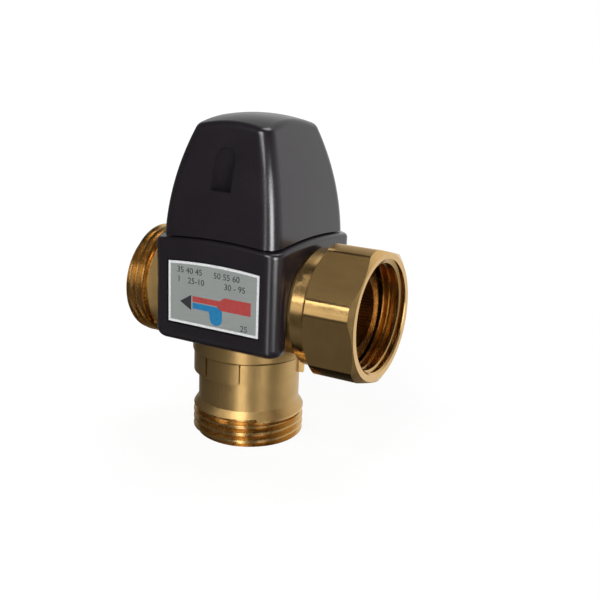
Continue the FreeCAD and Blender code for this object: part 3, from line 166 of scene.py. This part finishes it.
def soften(bm):
    """Smooth faces, with the edges left sharp where the shape turns sharply."""
    for face in bm.faces:
        face.smooth = True
    for edge in bm.edges:
        edge.smooth = len(edge.link_faces) == 2 and edge.calc_face_angle(0) < SHARP_ANGLE


def make_piece(name, bm, body, finishes):
    """Turns a bmesh into a piece that rides on its body."""
    mesh = bpy.data.meshes.new(name)
    bm.to_mesh(mesh)
    bm.free()
    for finish in finishes:
        mesh.materials.append(finish)
    piece = link(bpy.data.objects.new(name, mesh))
    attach(piece, body)
    return piece


def even_normals(piece):
    """Keeps the flat faces of a softened piece flat in the light."""
    even = piece.modifiers.new("even_normals", "WEIGHTED_NORMAL")
    even.keep_sharp = True


def merged_copy(node):
    """A bmesh with the node's shape and its loose triangles joined."""
    bm = bmesh.new()
    bm.from_mesh(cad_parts[node].data)
    bmesh.ops.remove_doubles(bm, verts=bm.verts, dist=MERGE_DISTANCE)
    return bm


def dress(node, finish):
    """Gives a CAD node its finish."""
    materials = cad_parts[node].data.materials
    materials.clear()
    materials.append(finish)


class Patterns:
    """The nodes of one tree, with the patterns that are put together from them."""

    def __init__(self, tree):
        self.tree = tree

    def node(self, kind, inputs=None, **settings):
        """Adds a node; an input is a number, a colour or another node's output."""
        made = self.tree.nodes.new("ShaderNode" + kind)
        for name, value in settings.items():
            setattr(made, name, value)
        for name, value in (inputs or {}).items():
            if isinstance(value, bpy.types.NodeSocket):
                self.tree.links.new(value, made.inputs[name])
            else:
                made.inputs[name].default_value = value
        return made

    def maths(self, operation, first, second=0.0):
        """One sum of two values."""
        return self.node("Math", {0: first, 1: second}, operation=operation).outputs[0]

    def ramp(self, value, low, high, start=0.3, end=0.7):
        """A value between low and high as the pattern goes from start to end."""
        mapped = self.node(
            "MapRange",
            {"Value": value, "From Min": start, "From Max": end, "To Min": low, "To Max": high},
            clamp=True,
        )
        return mapped.outputs["Result"]

    def band(self, value, middle, half_width, fade):
        """One inside a band of the value, nothing outside it."""
        away = self.maths("ABSOLUTE", self.maths("SUBTRACT", value, middle))
        return self.ramp(away, 1.0, 0.0, half_width, half_width + fade)


class Finish(Patterns):
    """A material with one shader, and the patterns that feed it."""

    def __init__(self, name, colour, metallic=0.0, roughness=0.5):
        self.material = bpy.data.materials.new(name)
        self.material.use_nodes = True
        super().__init__(self.material.node_tree)
        self.tree.nodes.clear()
        self.shader = self.tree.nodes.new("ShaderNodeBsdfPrincipled")
        output = self.tree.nodes.new("ShaderNodeOutputMaterial")
        self.tree.links.new(self.shader.outputs["BSDF"], output.inputs["Surface"])
        self.set("Base Color", (*colour, 1.0))
        self.set("Metallic", metallic)
        self.set("Roughness", roughness)
        self.place = self.tree.nodes.new("ShaderNodeTexCoord").outputs["Object"]

    def set(self, name, value):
        """Sets one of the shader's own sockets."""
        self.shader.inputs[name].default_value = value

    def grain(self, size, stretch=(1, 1, 1), detail=2.0, centre=(0, 0, 0)):
        """Noise with features of about that size, drawn out along an axis by its stretch."""
        scale = [1 / (size * part) for part in stretch]
        mapped = self.node("Mapping", {"Vector": self.place, "Location": centre, "Scale": scale})
        noise = self.node("TexNoise", {"Vector": mapped.outputs["Vector"], "Scale": 1.0, "Detail": detail})
        return noise.outputs["Fac"]

    def roughness(self, value):
        """Feeds the roughness."""
        self.tree.links.new(value, self.shader.inputs["Roughness"])

    def colours(self, value, first, second):
        """Feeds the colour, from first to second as the value goes from 0 to 1."""
        mix = self.node("Mix", data_type="RGBA")
        factor, one, two = mix.inputs[0], mix.inputs[6], mix.inputs[7]
        self.tree.links.new(value, factor)
        one.default_value = (*first, 1.0)
        two.default_value = (*second, 1.0)
        self.tree.links.new(mix.outputs[2], self.shader.inputs["Base Color"])

    def relief(self, *layers):
        """Feeds the surface with bump layers; each is a pattern and its depth in metres."""
        normal = None
        for height, depth in layers:
            inputs = {"Height": height, "Distance": depth, "Strength": 1.0}
            if normal is not None:
                inputs["Normal"] = normal
            normal = self.node("Bump", inputs).outputs["Normal"]
        self.tree.links.new(normal, self.shader.inputs["Normal"])


def tinted(colour, share):
    """A colour made lighter or darker by a share."""
    return tuple(min(1.0, part * share) for part in colour)


def cast_brass():
    """Blasted brass casting: a fine grain with soft stains."""
    colour = bpy.context.scene.valve_finishes.cast_brass
    finish = Finish("cast_brass", colour, metallic=1.0)
    stains = finish.grain(9 * MM, detail=3.0)
    grit = finish.grain(0.45 * MM, detail=3.0)
    finish.colours(finish.ramp(stains, 0.0, 1.0), tinted(colour, 0.86), tinted(colour, 1.06))
    finish.roughness(finish.ramp(grit, 0.32, 0.44))
    finish.relief((grit, 0.012 * MM), (finish.grain(2.4 * MM), 0.03 * MM))
    return finish.material


def turned_brass(name, axis="Z", centre=(0, 0, 0), polish=0.2):
    """Machined brass with turning marks round an axis."""
    colour = bpy.context.scene.valve_finishes.turned_brass
    finish = Finish(name, colour, metallic=1.0)
    mark_pitch = 0.32 * MM
    mapped = finish.node("Mapping", {"Vector": finish.place, "Location": [-part for part in centre]})
    along = finish.node(
        "TexWave", {"Vector": mapped.outputs["Vector"], "Scale": 1 / (mark_pitch * 20), "Distortion": 0.6,
                    "Detail Scale": 0.4},
        wave_type="BANDS", bands_direction=axis)
    round_axis = finish.node(
        "TexWave", {"Vector": mapped.outputs["Vector"], "Scale": 1 / (mark_pitch * 20), "Distortion": 0.6,
                    "Detail Scale": 0.4},
        wave_type="RINGS", rings_direction=axis)
    smear = finish.grain(3.5 * MM, detail=3.0)
    finish.colours(finish.ramp(smear, 0.0, 1.0), tinted(colour, 0.93), tinted(colour, 1.05))
    finish.roughness(finish.ramp(smear, polish, polish + 0.12))
    finish.relief((along.outputs["Fac"], 0.004 * MM), (round_axis.outputs["Fac"], 0.004 * MM))
    return finish.material


def drawn_brass():
    """The nut's brass: bar stock with faint lines along the axis."""
    colour = bpy.context.scene.valve_finishes.turned_brass
    finish = Finish("drawn_brass", colour, metallic=1.0)
    lines = finish.grain(0.5 * MM, stretch=(24, 1, 1), detail=3.0)
    smear = finish.grain(5 * MM, detail=3.0)
    finish.colours(finish.ramp(smear, 0.0, 1.0), tinted(colour, 0.9), tinted(colour, 1.03))
    finish.roughness(finish.ramp(lines, 0.14, 0.22))
    finish.relief((lines, 0.003 * MM), (smear, 0.03 * MM))
    return finish.material


def plain_metal(name, colour, roughness):
    """Wire, clips and screws: even metal with a faint smear."""
    finish = Finish(name, colour, metallic=1.0)
    smear = finish.grain(1.2 * MM, detail=3.0)
    finish.colours(finish.ramp(smear, 0.0, 1.0), tinted(colour, 0.9), colour)
    finish.roughness(finish.ramp(smear, roughness, roughness + 0.14))
    finish.relief((smear, 0.006 * MM))
    return finish.material


def moulded(name, colour, low, high, depth=0.012 * MM):
    """Moulded plastic with the fine texture of its tool."""
    finish = Finish(name, colour)
    grit = finish.grain(0.28 * MM, detail=2.0)
    cloud = finish.grain(14 * MM, detail=2.0)
    finish.colours(finish.ramp(cloud, 0.0, 1.0), tinted(colour, 0.9), tinted(colour, 1.12))
    finish.roughness(finish.ramp(cloud, low, high))
    finish.relief((grit, depth), (finish.grain(6 * MM), 0.03 * MM))
    return finish.material


def ink(name, colour):
    """Print with the slight unevenness of ink on foil."""
    finish = Finish(name, colour, roughness=0.4)
    spread = finish.grain(0.7 * MM, detail=2.0)
    finish.colours(finish.ramp(spread, 0.0, 1.0), tinted(colour, 0.9), tinted(colour, 1.1))
    return finish.material


def foil(colour):
    """Silver foil with a faint brushed grain across."""
    finish = Finish("silver_foil", colour, metallic=0.35)
    brushed = finish.grain(0.16 * MM, stretch=(30, 1, 1), detail=2.0)
    finish.colours(finish.ramp(brushed, 0.0, 1.0), tinted(colour, 0.94), tinted(colour, 1.05))
    finish.roughness(finish.ramp(brushed, 0.34, 0.46))
    finish.relief((brushed, 0.003 * MM))
    return finish.material


def thread_cutter(thread, start, length, inside):
    """The space between the thread's turns, as one closed helical bar round Z that opens away from the core."""
    crest = THREAD_RADIUS if not inside else CORE_RADIUS
    root = CORE_RADIUS if not inside else THREAD_RADIUS
    outward = 1 if not inside else -1
    mouth = (thread.pitch - thread.crest_flat) / 2
    floor = thread.root_flat / 2
    flare = mouth + (mouth - floor) * thread.overcut / abs(crest - root)
    profile = [
        (root, floor), (crest + outward * thread.overcut, flare),
        (crest + outward * thread.overcut, -flare), (root, -floor),
    ]
    bm = bmesh.new()
    section = bm.faces.new([bm.verts.new((radius, 0, start + along)) for radius, along in profile])
    steps = math.ceil(length / thread.pitch * thread.steps)
    bmesh.ops.spin(
        bm, geom=[section, *section.edges, *section.verts], cent=(0, 0, 0), axis=(0, 0, 1),
        dvec=(0, 0, thread.pitch / thread.steps), angle=math.tau * steps / thread.steps, steps=steps,
        use_merge=False, use_duplicate=False)
    bmesh.ops.recalc_face_normals(bm, faces=bm.faces)
    return bm


def lay_along_x(bm, start):
    """Turns a shape round Z to one round the side ports' axis, with its zero at start."""
    turn = Matrix.Rotation(math.radians(90), 4, "Y")
    bmesh.ops.transform(bm, matrix=Matrix.Translation(PIPE_AXIS + Vector((start, 0, 0))) @ turn, verts=bm.verts)


def cut(piece, cutters):
    """Cuts each cutter's shape out of the piece."""
    for bm in cutters:
        mesh = bpy.data.meshes.new("cutter")
        bm.to_mesh(mesh)
        bm.free()
        cutter = link(bpy.data.objects.new("cutter", mesh))
        boolean = piece.modifiers.new("cut", "BOOLEAN")
        boolean.operation = "DIFFERENCE"
        boolean.solver = "MANIFOLD"
        boolean.object = cutter
        graph = bpy.context.evaluated_depsgraph_get()
        result = bpy.data.meshes.new_from_object(piece.evaluated_get(graph))
        piece.modifiers.clear()
        plain = piece.data
        piece.data = result
        bpy.data.meshes.remove(plain)
        bpy.data.objects.remove(cutter)
        bpy.data.meshes.remove(mesh)


def finish_faces(piece, choose):
    """Softens a piece and gives each face the finish that choose names by the face's middle."""
    bm = bmesh.new()
    bm.from_mesh(piece.data)
    soften(bm)
    for face in bm.faces:
        face.material_index = choose(face.calc_center_median(), face.normal)
    bm.to_mesh(piece.data)
    bm.free()
    even_normals(piece)


class VALVE_OT_valve_body(bpy.types.Operator):
    """Cuts the pipe threads of the brass body and gives it its cast and turned finishes"""

    bl_idname = "valve.valve_body"
    bl_label = "Valve Body"

    def execute(self, context):
        thread = context.scene.valve_thread
        piece = make_piece("valve_body_threaded", merged_copy("valve_body"), "valve", [
            cast_brass(),
            turned_brass("turned_brass_port", "Z"),
            turned_brass("turned_brass_arms", "X", PIPE_AXIS),
        ])
        run = THREAD_LENGTH + thread.pitch
        below = thread_cutter(thread, -thread.pitch / 2, run, inside=False)
        aside = thread_cutter(thread, -thread.pitch / 2, run, inside=False)
        lay_along_x(aside, -OUTLET_REACH)
        cut(piece, [below, aside])

        def machined(middle, normal):
            if middle.z < COLLAR_END:
                return 1
            return 2 if middle.x < COLLAR_END - OUTLET_REACH or middle.x > NUT_LOW.x else 0

        finish_faces(piece, machined)
        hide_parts("valve_body")
        return {"FINISHED"}


class VALVE_OT_union_nut(bpy.types.Operator):
    """Cuts the thread inside the union nut and gives it its finishes"""

    bl_idname = "valve.union_nut"
    bl_label = "Union Nut"

    def execute(self, context):
        thread = context.scene.valve_thread
        blank = merged_copy("union_nut")
        self.break_edges(blank, thread)
        piece = make_piece("union_nut_threaded", blank, "nut", [
            drawn_brass(),
            turned_brass("turned_brass_nut", "X", PIPE_AXIS, polish=0.16),
        ])
        inside = thread_cutter(thread, -thread.pitch / 2, NUT_HIGH.x - NUT_THREAD_START + thread.pitch, inside=True)
        lay_along_x(inside, NUT_THREAD_START)
        cut(piece, [inside])

        def machined(middle, normal):
            radius = math.hypot(middle.y, middle.z - PIPE_AXIS.z)
            return 1 if radius < THREAD_RADIUS + 0.6 * MM or abs(normal.x) > 0.3 else 0

        finish_faces(piece, machined)
        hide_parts("union_nut")
        return {"FINISHED"}

    def break_edges(self, bm, thread):
        """Rounds the long edges between the nut's flats and its turned corners."""
        bmesh.ops.dissolve_limit(bm, angle_limit=math.radians(0.4), verts=bm.verts, edges=bm.edges)
        long_edges = []
        for edge in bm.edges:
            run = edge.verts[1].co - edge.verts[0].co
            radius = math.hypot(edge.verts[0].co.y, edge.verts[0].co.z - PIPE_AXIS.z)
            if (abs(run.x) > 5 * MM and radius > THREAD_RADIUS + 1.5 * MM and len(edge.link_faces) == 2
                    and edge.calc_face_angle(0) > math.radians(8)):
                long_edges.append(edge)
        bmesh.ops.bevel(
            bm, geom=long_edges, offset=thread.edge_break, segments=3, profile=0.5, affect="EDGES", material=-1,
            clamp_overlap=True)


class VALVE_OT_cover(bpy.types.Operator):
    """Gives the housing, the cap and the housing's screws their finishes"""

    bl_idname = "valve.cover"
    bl_label = "Housing and Cap"

    def execute(self, context):
        colours = context.scene.valve_finishes
        plastic = moulded("black_plastic", colours.black_plastic, 0.22, 0.28)
        dress("housing", plastic)
        dress("cap", plastic)
        dress("housing_screws", plain_metal("zinc_plate", colours.steel, 0.28))
        return {"FINISHED"}


def raise_faces(bm, faces, move):
    """Gives flat faces a thickness, as closed plates."""
    grown = bmesh.ops.extrude_face_region(bm, geom=faces)
    corners = [item for item in grown["geom"] if isinstance(item, bmesh.types.BMVert)]
    bmesh.ops.translate(bm, verts=corners, vec=move)


def printed(name, bm, finish):
    """A printed shape, drawn in X and Z on the label's surface."""
    height = bpy.context.scene.valve_print.ink_height
    bmesh.ops.translate(bm, verts=bm.verts, vec=(0, LABEL_LOW.y + height / 2, 0))
    raise_faces(bm, bm.faces[:], Vector((0, -1.5 * height, 0)))
    bmesh.ops.recalc_face_normals(bm, faces=bm.faces)
    return make_piece(name, bm, "valve", [finish])


def polygon(bm, corners):
    """A flat shape in X and Z from a few corners in millimetres."""
    return bm.faces.new([bm.verts.new((x * MM, 0, z * MM)) for x, z in corners])


def bar(bm, left, right, bottom, top):
    """An upright rectangle in X and Z, in millimetres."""
    return polygon(bm, [(left, bottom), (right, bottom), (right, top), (left, top)])


def figures(text, height, place):
    """Flat figures as a bmesh; place is a matrix from the figures' own plane, in metres."""
    curve = bpy.data.curves.new("figures", "FONT")
    curve.body = text
    curve.size = height / 0.7
    curve.align_x = "CENTER"
    curve.align_y = "CENTER"
    curve.resolution_u = 3
    writing = link(bpy.data.objects.new("figures", curve))
    graph = bpy.context.evaluated_depsgraph_get()
    mesh = bpy.data.meshes.new_from_object(writing.evaluated_get(graph))
    bm = bmesh.new()
    bm.from_mesh(mesh)
    bmesh.ops.remove_doubles(bm, verts=bm.verts, dist=MERGE_DISTANCE)
    bmesh.ops.transform(bm, matrix=place, verts=bm.verts)
    bpy.data.objects.remove(writing)
    bpy.data.curves.remove(curve)
    bpy.data.meshes.remove(mesh)
    return bm


class VALVE_OT_label(bpy.types.Operator):
    """Finishes the label as silver foil and prints its border, flow picture and figures on it"""

    bl_idname = "valve.label"
    bl_label = "Label"

    def execute(self, context):
        style = context.scene.valve_print
        black = ink("black_ink", style.ink)
        dress("label", foil(style.foil))
        self.print_border(style)
        self.print_flow(style, black)
        self.print_figures(style, black)
        return {"FINISHED"}

    def print_border(self, style):
        """A pale rim that follows the label's outline."""
        bm = merged_copy("label")
        rest = [face for face in bm.faces if face.normal.y >= -0.9]
        bmesh.ops.delete(bm, geom=rest, context="FACES")
        bmesh.ops.dissolve_faces(bm, faces=bm.faces[:])
        inner = bmesh.ops.inset_region(
            bm, faces=bm.faces[:], thickness=style.border_width, use_boundary=True, use_even_offset=True)
        rim = set(inner["faces"])
        bmesh.ops.delete(bm, geom=[face for face in bm.faces if face not in rim], context="FACES")
        bmesh.ops.translate(bm, verts=bm.verts, vec=(0, -LABEL_LOW.y, 0))
        printed("label_border", bm, ink("border_ink", style.border))

    def print_flow(self, style, black):
        """The flow picture: hot and cold water meet and leave at the arrow head."""
        head = bmesh.new()
        polygon(head, [(-10.8, 42.5), (-7.0, 40.4), (-7.0, 44.8)])
        printed("flow_head", head, black)
        hot = bmesh.new()
        polygon(hot, [(-6.5, 43.0), (1.6, 43.0), (2.9, 41.9), (12.7, 41.9), (12.7, 45.7), (4.1, 45.7),
                      (2.6, 44.6), (-6.5, 44.6)])
        printed("hot_path", hot, ink("hot_ink", style.hot))
        cold = bmesh.new()
        end_x, end_z, end_radius = 1.4, 39.4, 2.1
        turns = [math.radians(turn) for turn in range(170, 371, 10)]
        round_end = [(end_x + end_radius * math.cos(turn), end_z + end_radius * math.sin(turn)) for turn in turns]
        polygon(cold, [(-6.5, 42.7), (-6.5, 41.0), (-1.0, 41.0), *round_end, (3.4, 41.7), (2.0, 42.7)])
        printed("cold_path", cold, ink("cold_ink", style.cold))

    def print_figures(self, style, black):
        """Small made-up figures where the label has print; each has the X and Z of its middle in millimetres."""
        upright = Matrix.Rotation(math.radians(90), 4, "X")
        prints = (
            ("35 40 45", -7.6, 51.6), ("50 55 60", 4.7, 51.5), ("1", -11.2, 48.9), ("25-10", -5.4, 48.8),
            ("30 - 95", 7.4, 48.8), ("25", 10.6, 37.9),
        )
        for count, (number, x, z) in enumerate(prints):
            place = Matrix.Translation((x * MM, 0, z * MM)) @ upright
            printed(f"label_figure_{count + 1}", figures(number, style.figure_height, place), black)


class VALVE_OT_setting(bpy.types.Operator):
    """Finishes the setting knob and its scale, and prints the knob's pointer"""

    bl_idname = "valve.setting"
    bl_label = "Setting Knob and Scale"

    def execute(self, context):
        colours = context.scene.valve_finishes
        grey = moulded("grey_plastic", colours.grey_plastic, 0.42, 0.52)
        dress("scale_ring", grey)
        dress("setting_knob", grey)
        dress("knob_screw", plain_metal("knob_screw_zinc", colours.steel, 0.28))
        self.print_pointer(context.scene.valve_print)
        return {"FINISHED"}

    def print_pointer(self, style):
        """A pale bar on the knob's top that points to the scale."""
        radius = KNOB_HIGH.x / MM
        pointer = bmesh.new()
        bar(pointer, -0.6, 0.6, radius - 4.5, radius - 1.5)
        bmesh.ops.rotate(
            pointer, verts=pointer.verts, cent=(0, 0, 0), matrix=Matrix.Rotation(math.radians(90), 3, "X"))
        bmesh.ops.translate(pointer, verts=pointer.verts, vec=(0, 0, KNOB_HIGH.z - style.ink_height / 2))
        raise_faces(pointer, pointer.faces[:], Vector((0, 0, 1.5 * style.ink_height)))
        bmesh.ops.recalc_face_normals(pointer, faces=pointer.faces)
        make_piece("knob_pointer", pointer, "setting", [ink("pointer_ink", style.border)])


class VALVE_OT_inside(bpy.types.Operator):
    """Gives the bonnet, spindle, springs, seals and sensor their finishes"""

    bl_idname = "valve.inside"
    bl_label = "Inner Pieces"

    def execute(self, context):
        colours = context.scene.valve_finishes
        turned = turned_brass("turned_brass_inner", "Z")
        sensor = turned_brass("sensor_brass", "Z", polish=0.26)
        wire = plain_metal("spring_wire", colours.steel, 0.22)
        rubber = moulded("black_rubber", colours.rubber, 0.5, 0.62, depth=0.006 * MM)
        for node in ("bonnet", "setting_spindle", "spring_cup"):
            dress(node, turned)
        for node in ("sensor_element", "hot_disc", "cold_disc"):
            dress(node, sensor)
        for node in ("nut_snap_ring", "return_spring", "overload_spring", "spindle_clip", "cup_clip",
                     "push_disc", "sensor_piston"):
            dress(node, wire)
        for node in ("bonnet_seal", "spindle_seal"):
            dress(node, rubber)
        return {"FINISHED"}


class VALVE_OT_camera(bpy.types.Operator):
    """Sets up the camera at the photograph's angle"""

    bl_idname = "valve.camera"
    bl_label = "Camera"

    def execute(self, context):
        studio = context.scene.valve_studio
        back = direction(studio.azimuth, studio.elevation)
        level = Vector((math.cos(studio.azimuth), math.sin(studio.azimuth), 0))
        upward = back.cross(level)
        right = level * math.cos(studio.roll) + upward * math.sin(studio.roll)
        up = back.cross(right)
        camera = link(bpy.data.objects.new("camera", bpy.data.cameras.new("camera")))
        camera.data.lens = studio.lens
        camera.data.clip_start = 10 * MM
        middle = PIPE_AXIS + right * studio.aside - up * studio.below
        turn = Matrix((right, up, back)).transposed().to_4x4()
        camera.matrix_world = Matrix.Translation(middle + back * studio.distance) @ turn
        context.scene.camera = camera
        context.scene.view_settings.view_transform = "Standard"
        return {"FINISHED"}


def softbox(name, azimuth, elevation, distance, width, height, level, only=()):
    """A rectangular lamp that faces the valve; the camera doesn't see it. Its level is the brightness it shows.

    A lamp that is given pieces lights only those."""
    lamp = bpy.data.lights.new(name, "AREA")
    lamp.shape = "RECTANGLE"
    lamp.size = width
    lamp.size_y = height
    lamp.energy = level * math.pi * width * height
    box = link(bpy.data.objects.new(name, lamp))
    back = direction(math.radians(azimuth), math.radians(elevation))
    turn = back.to_track_quat("Z", "Y").to_matrix().to_4x4()
    box.matrix_world = Matrix.Translation(PIPE_AXIS + back * distance) @ turn
    box.visible_camera = False
    if only:
        lit = bpy.data.collections.new(name + "_pieces")
        for piece in only:
            lit.objects.link(piece)
        box.light_linking.receiver_collection = lit


# Soft glows in the room that the brass shows: azimuth and elevation of the middle in degrees, half the width and
# half the height with their fade, and the brightness that each adds.
GLOWS = (
    (-40, 30, -42, 10, 6, 0.11),
    (62, 7, 6, 22, 4, 3.0),
    (16, 4.4, -12, 48, 2.0, 4.2),
)

# The lamps: azimuth and elevation in degrees with the distance, width and height, the brightness that each shows, and
# the pieces that it lights.
SOFTBOXES = (
    ("key_softbox", (-4, 54, 0.8), (0.30, 0.26), 11.0, "all"),
    ("flare_softbox", (14, 40, 0.8), (0.18, 0.14), 8.0, "all"),
    ("top_softbox", (180, 70, 0.9), (0.4, 0.4), 5.0, "all"),
    ("line_softbox", (-29, 20, 0.9), (0.34, 0.09), 4.6, "brass"),
    ("band_softbox", (-29, 6, 0.9), (0.34, 0.22), 1.0, "brass"),
    ("facet_softbox", (-60, 57.6, 0.9), (0.36, 0.36), 0.17, "brass"),
    ("corner_softbox", (57, 10, 0.9), (0.30, 0.60), 15.0, "cover"),
)


class VALVE_OT_stage(bpy.types.Operator):
    """Lays the pale floor and sets up the room and the lamps"""

    bl_idname = "valve.stage"
    bl_label = "Stage"

    def execute(self, context):
        studio = context.scene.valve_studio
        self.lay_floor(studio)
        self.light_room(context.scene, studio)
        cover = [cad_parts[name] for name in ("cap", "housing")]
        brass = [bpy.data.objects[name] for name in ("valve_body_threaded", "union_nut_threaded")]
        pieces = {"all": (), "cover": cover, "brass": brass}
        for name, place, size, level, lit in SOFTBOXES:
            softbox(name, *place, *size, level, pieces[lit])
        return {"FINISHED"}

    def lay_floor(self, studio):
        """A pale floor that keeps a faint shadow; the brass shows the room in its place."""
        bm = bmesh.new()
        bmesh.ops.create_circle(bm, cap_ends=True, segments=96, radius=studio.floor_radius)
        mesh = bpy.data.meshes.new("floor")
        bm.to_mesh(mesh)
        bm.free()
        floor = link(bpy.data.objects.new("floor", mesh))
        floor.location.z = -0.02 * MM
        floor.visible_glossy = False
        floor.visible_shadow = False
        finish = Finish("pale_floor", (0.82, 0.82, 0.82), roughness=1.0)
        finish.set("Specular IOR Level", 0.0)
        seen = finish.node("LightPath").outputs["Is Camera Ray"]
        white = finish.node("Emission", {"Color": (1, 1, 1, 1), "Strength": 1.06})
        away = finish.node("VectorMath", {0: finish.place}, operation="LENGTH").outputs["Value"]
        white_share = finish.maths("MULTIPLY", seen, finish.ramp(away, 0.85, 1.0, 0.1, 0.5))
        mixed = finish.node("MixShader", {"Fac": white_share})
        finish.tree.links.new(finish.shader.outputs["BSDF"], mixed.inputs[1])
        finish.tree.links.new(white.outputs["Emission"], mixed.inputs[2])
        output = next(node for node in finish.tree.nodes if node.type == "OUTPUT_MATERIAL")
        finish.tree.links.new(mixed.outputs["Shader"], output.inputs["Surface"])
        mesh.materials.append(finish.material)

    def light_room(self, scene, studio):
        """A room that is white behind the valve and dim in front; the camera sees it white all round."""
        world = bpy.data.worlds.new("studio_room")
        world.use_nodes = True
        scene.world = world
        room = Patterns(world.node_tree)
        place = room.node("TexCoord").outputs["Generated"]
        split = room.node("SeparateXYZ", {"Vector": place}).outputs
        azimuth = room.maths("ARCTAN2", split["X"], room.maths("MULTIPLY", split["Y"], -1.0))
        elevation = room.maths("ARCSINE", split["Z"])
        side = direction(studio.white_side, 0)
        facing = room.node("VectorMath", {0: place, 1: side}, operation="DOT_PRODUCT").outputs["Value"]
        level = room.ramp(facing, studio.dim_level, 1.0, 0.12, 0.85)
        overhead = room.ramp(elevation, 1.0, studio.overhead_level, math.radians(20), math.radians(60))
        level = room.maths("MULTIPLY", level, overhead)
        level = room.maths("MULTIPLY", level, room.ramp(elevation, 0.12, 1.0, math.radians(-50), math.radians(-24)))
        for middle, half_width, height, half_height, fade, brightness in GLOWS:
            across = room.band(azimuth, math.radians(middle), math.radians(half_width), math.radians(fade))
            along = room.band(elevation, math.radians(height), math.radians(half_height), math.radians(fade))
            glow = room.maths("MULTIPLY", room.maths("MULTIPLY", across, along), brightness)
            level = room.maths("ADD", level, glow)
        seen = room.node("LightPath").outputs["Is Camera Ray"]
        level = room.maths("MAXIMUM", level, seen)
        world.node_tree.links.new(level, world.node_tree.nodes["Background"].inputs["Color"])


class VALVE_PT_workshop(bpy.types.Panel):
    """The valve's operators and sizes"""

    bl_idname = "VALVE_PT_workshop"
    bl_label = "Mixing Valve"
    bl_space_type = "VIEW_3D"
    bl_region_type = "UI"
    bl_category = "Valve"

    def draw(self, context):
        for operator in OPERATORS:
            self.layout.operator(operator.bl_idname)
        for name, group in GROUPS.items():
            box = self.layout.box()
            box.label(text=group.__doc__)
            for size in group.__annotations__:
                box.prop(getattr(context.scene, name), size)


GROUPS = {
    "valve_thread": PipeThread,
    "valve_print": LabelPrint,
    "valve_finishes": Finishes,
    "valve_studio": Studio,
}
OPERATORS = (
    VALVE_OT_camera,
    VALVE_OT_valve_body,
    VALVE_OT_union_nut,
    VALVE_OT_cover,
    VALVE_OT_label,
    VALVE_OT_setting,
    VALVE_OT_inside,
    VALVE_OT_stage,
)


def register():
    """Registers the classes and hangs the sizes on the scene."""
    for item in (*GROUPS.values(), *OPERATORS, VALVE_PT_workshop):
        bpy.utils.register_class(item)
    for name, group in GROUPS.items():
        setattr(bpy.types.Scene, name, PointerProperty(type=group))


def unregister():
    """Takes everything back out."""
    for name in GROUPS:
        delattr(bpy.types.Scene, name)
    for item in (VALVE_PT_workshop, *reversed(OPERATORS), *GROUPS.values()):
        bpy.utils.unregister_class(item)


def main():
    """Builds every piece and the stage."""
    register()
    bpy.ops.valve.camera()
    bpy.ops.valve.valve_body()
    bpy.ops.valve.union_nut()
    bpy.ops.valve.cover()
    bpy.ops.valve.label()
    bpy.ops.valve.setting()
    bpy.ops.valve.inside()
    bpy.ops.valve.stage()


if __name__ == "__main__":
    main()
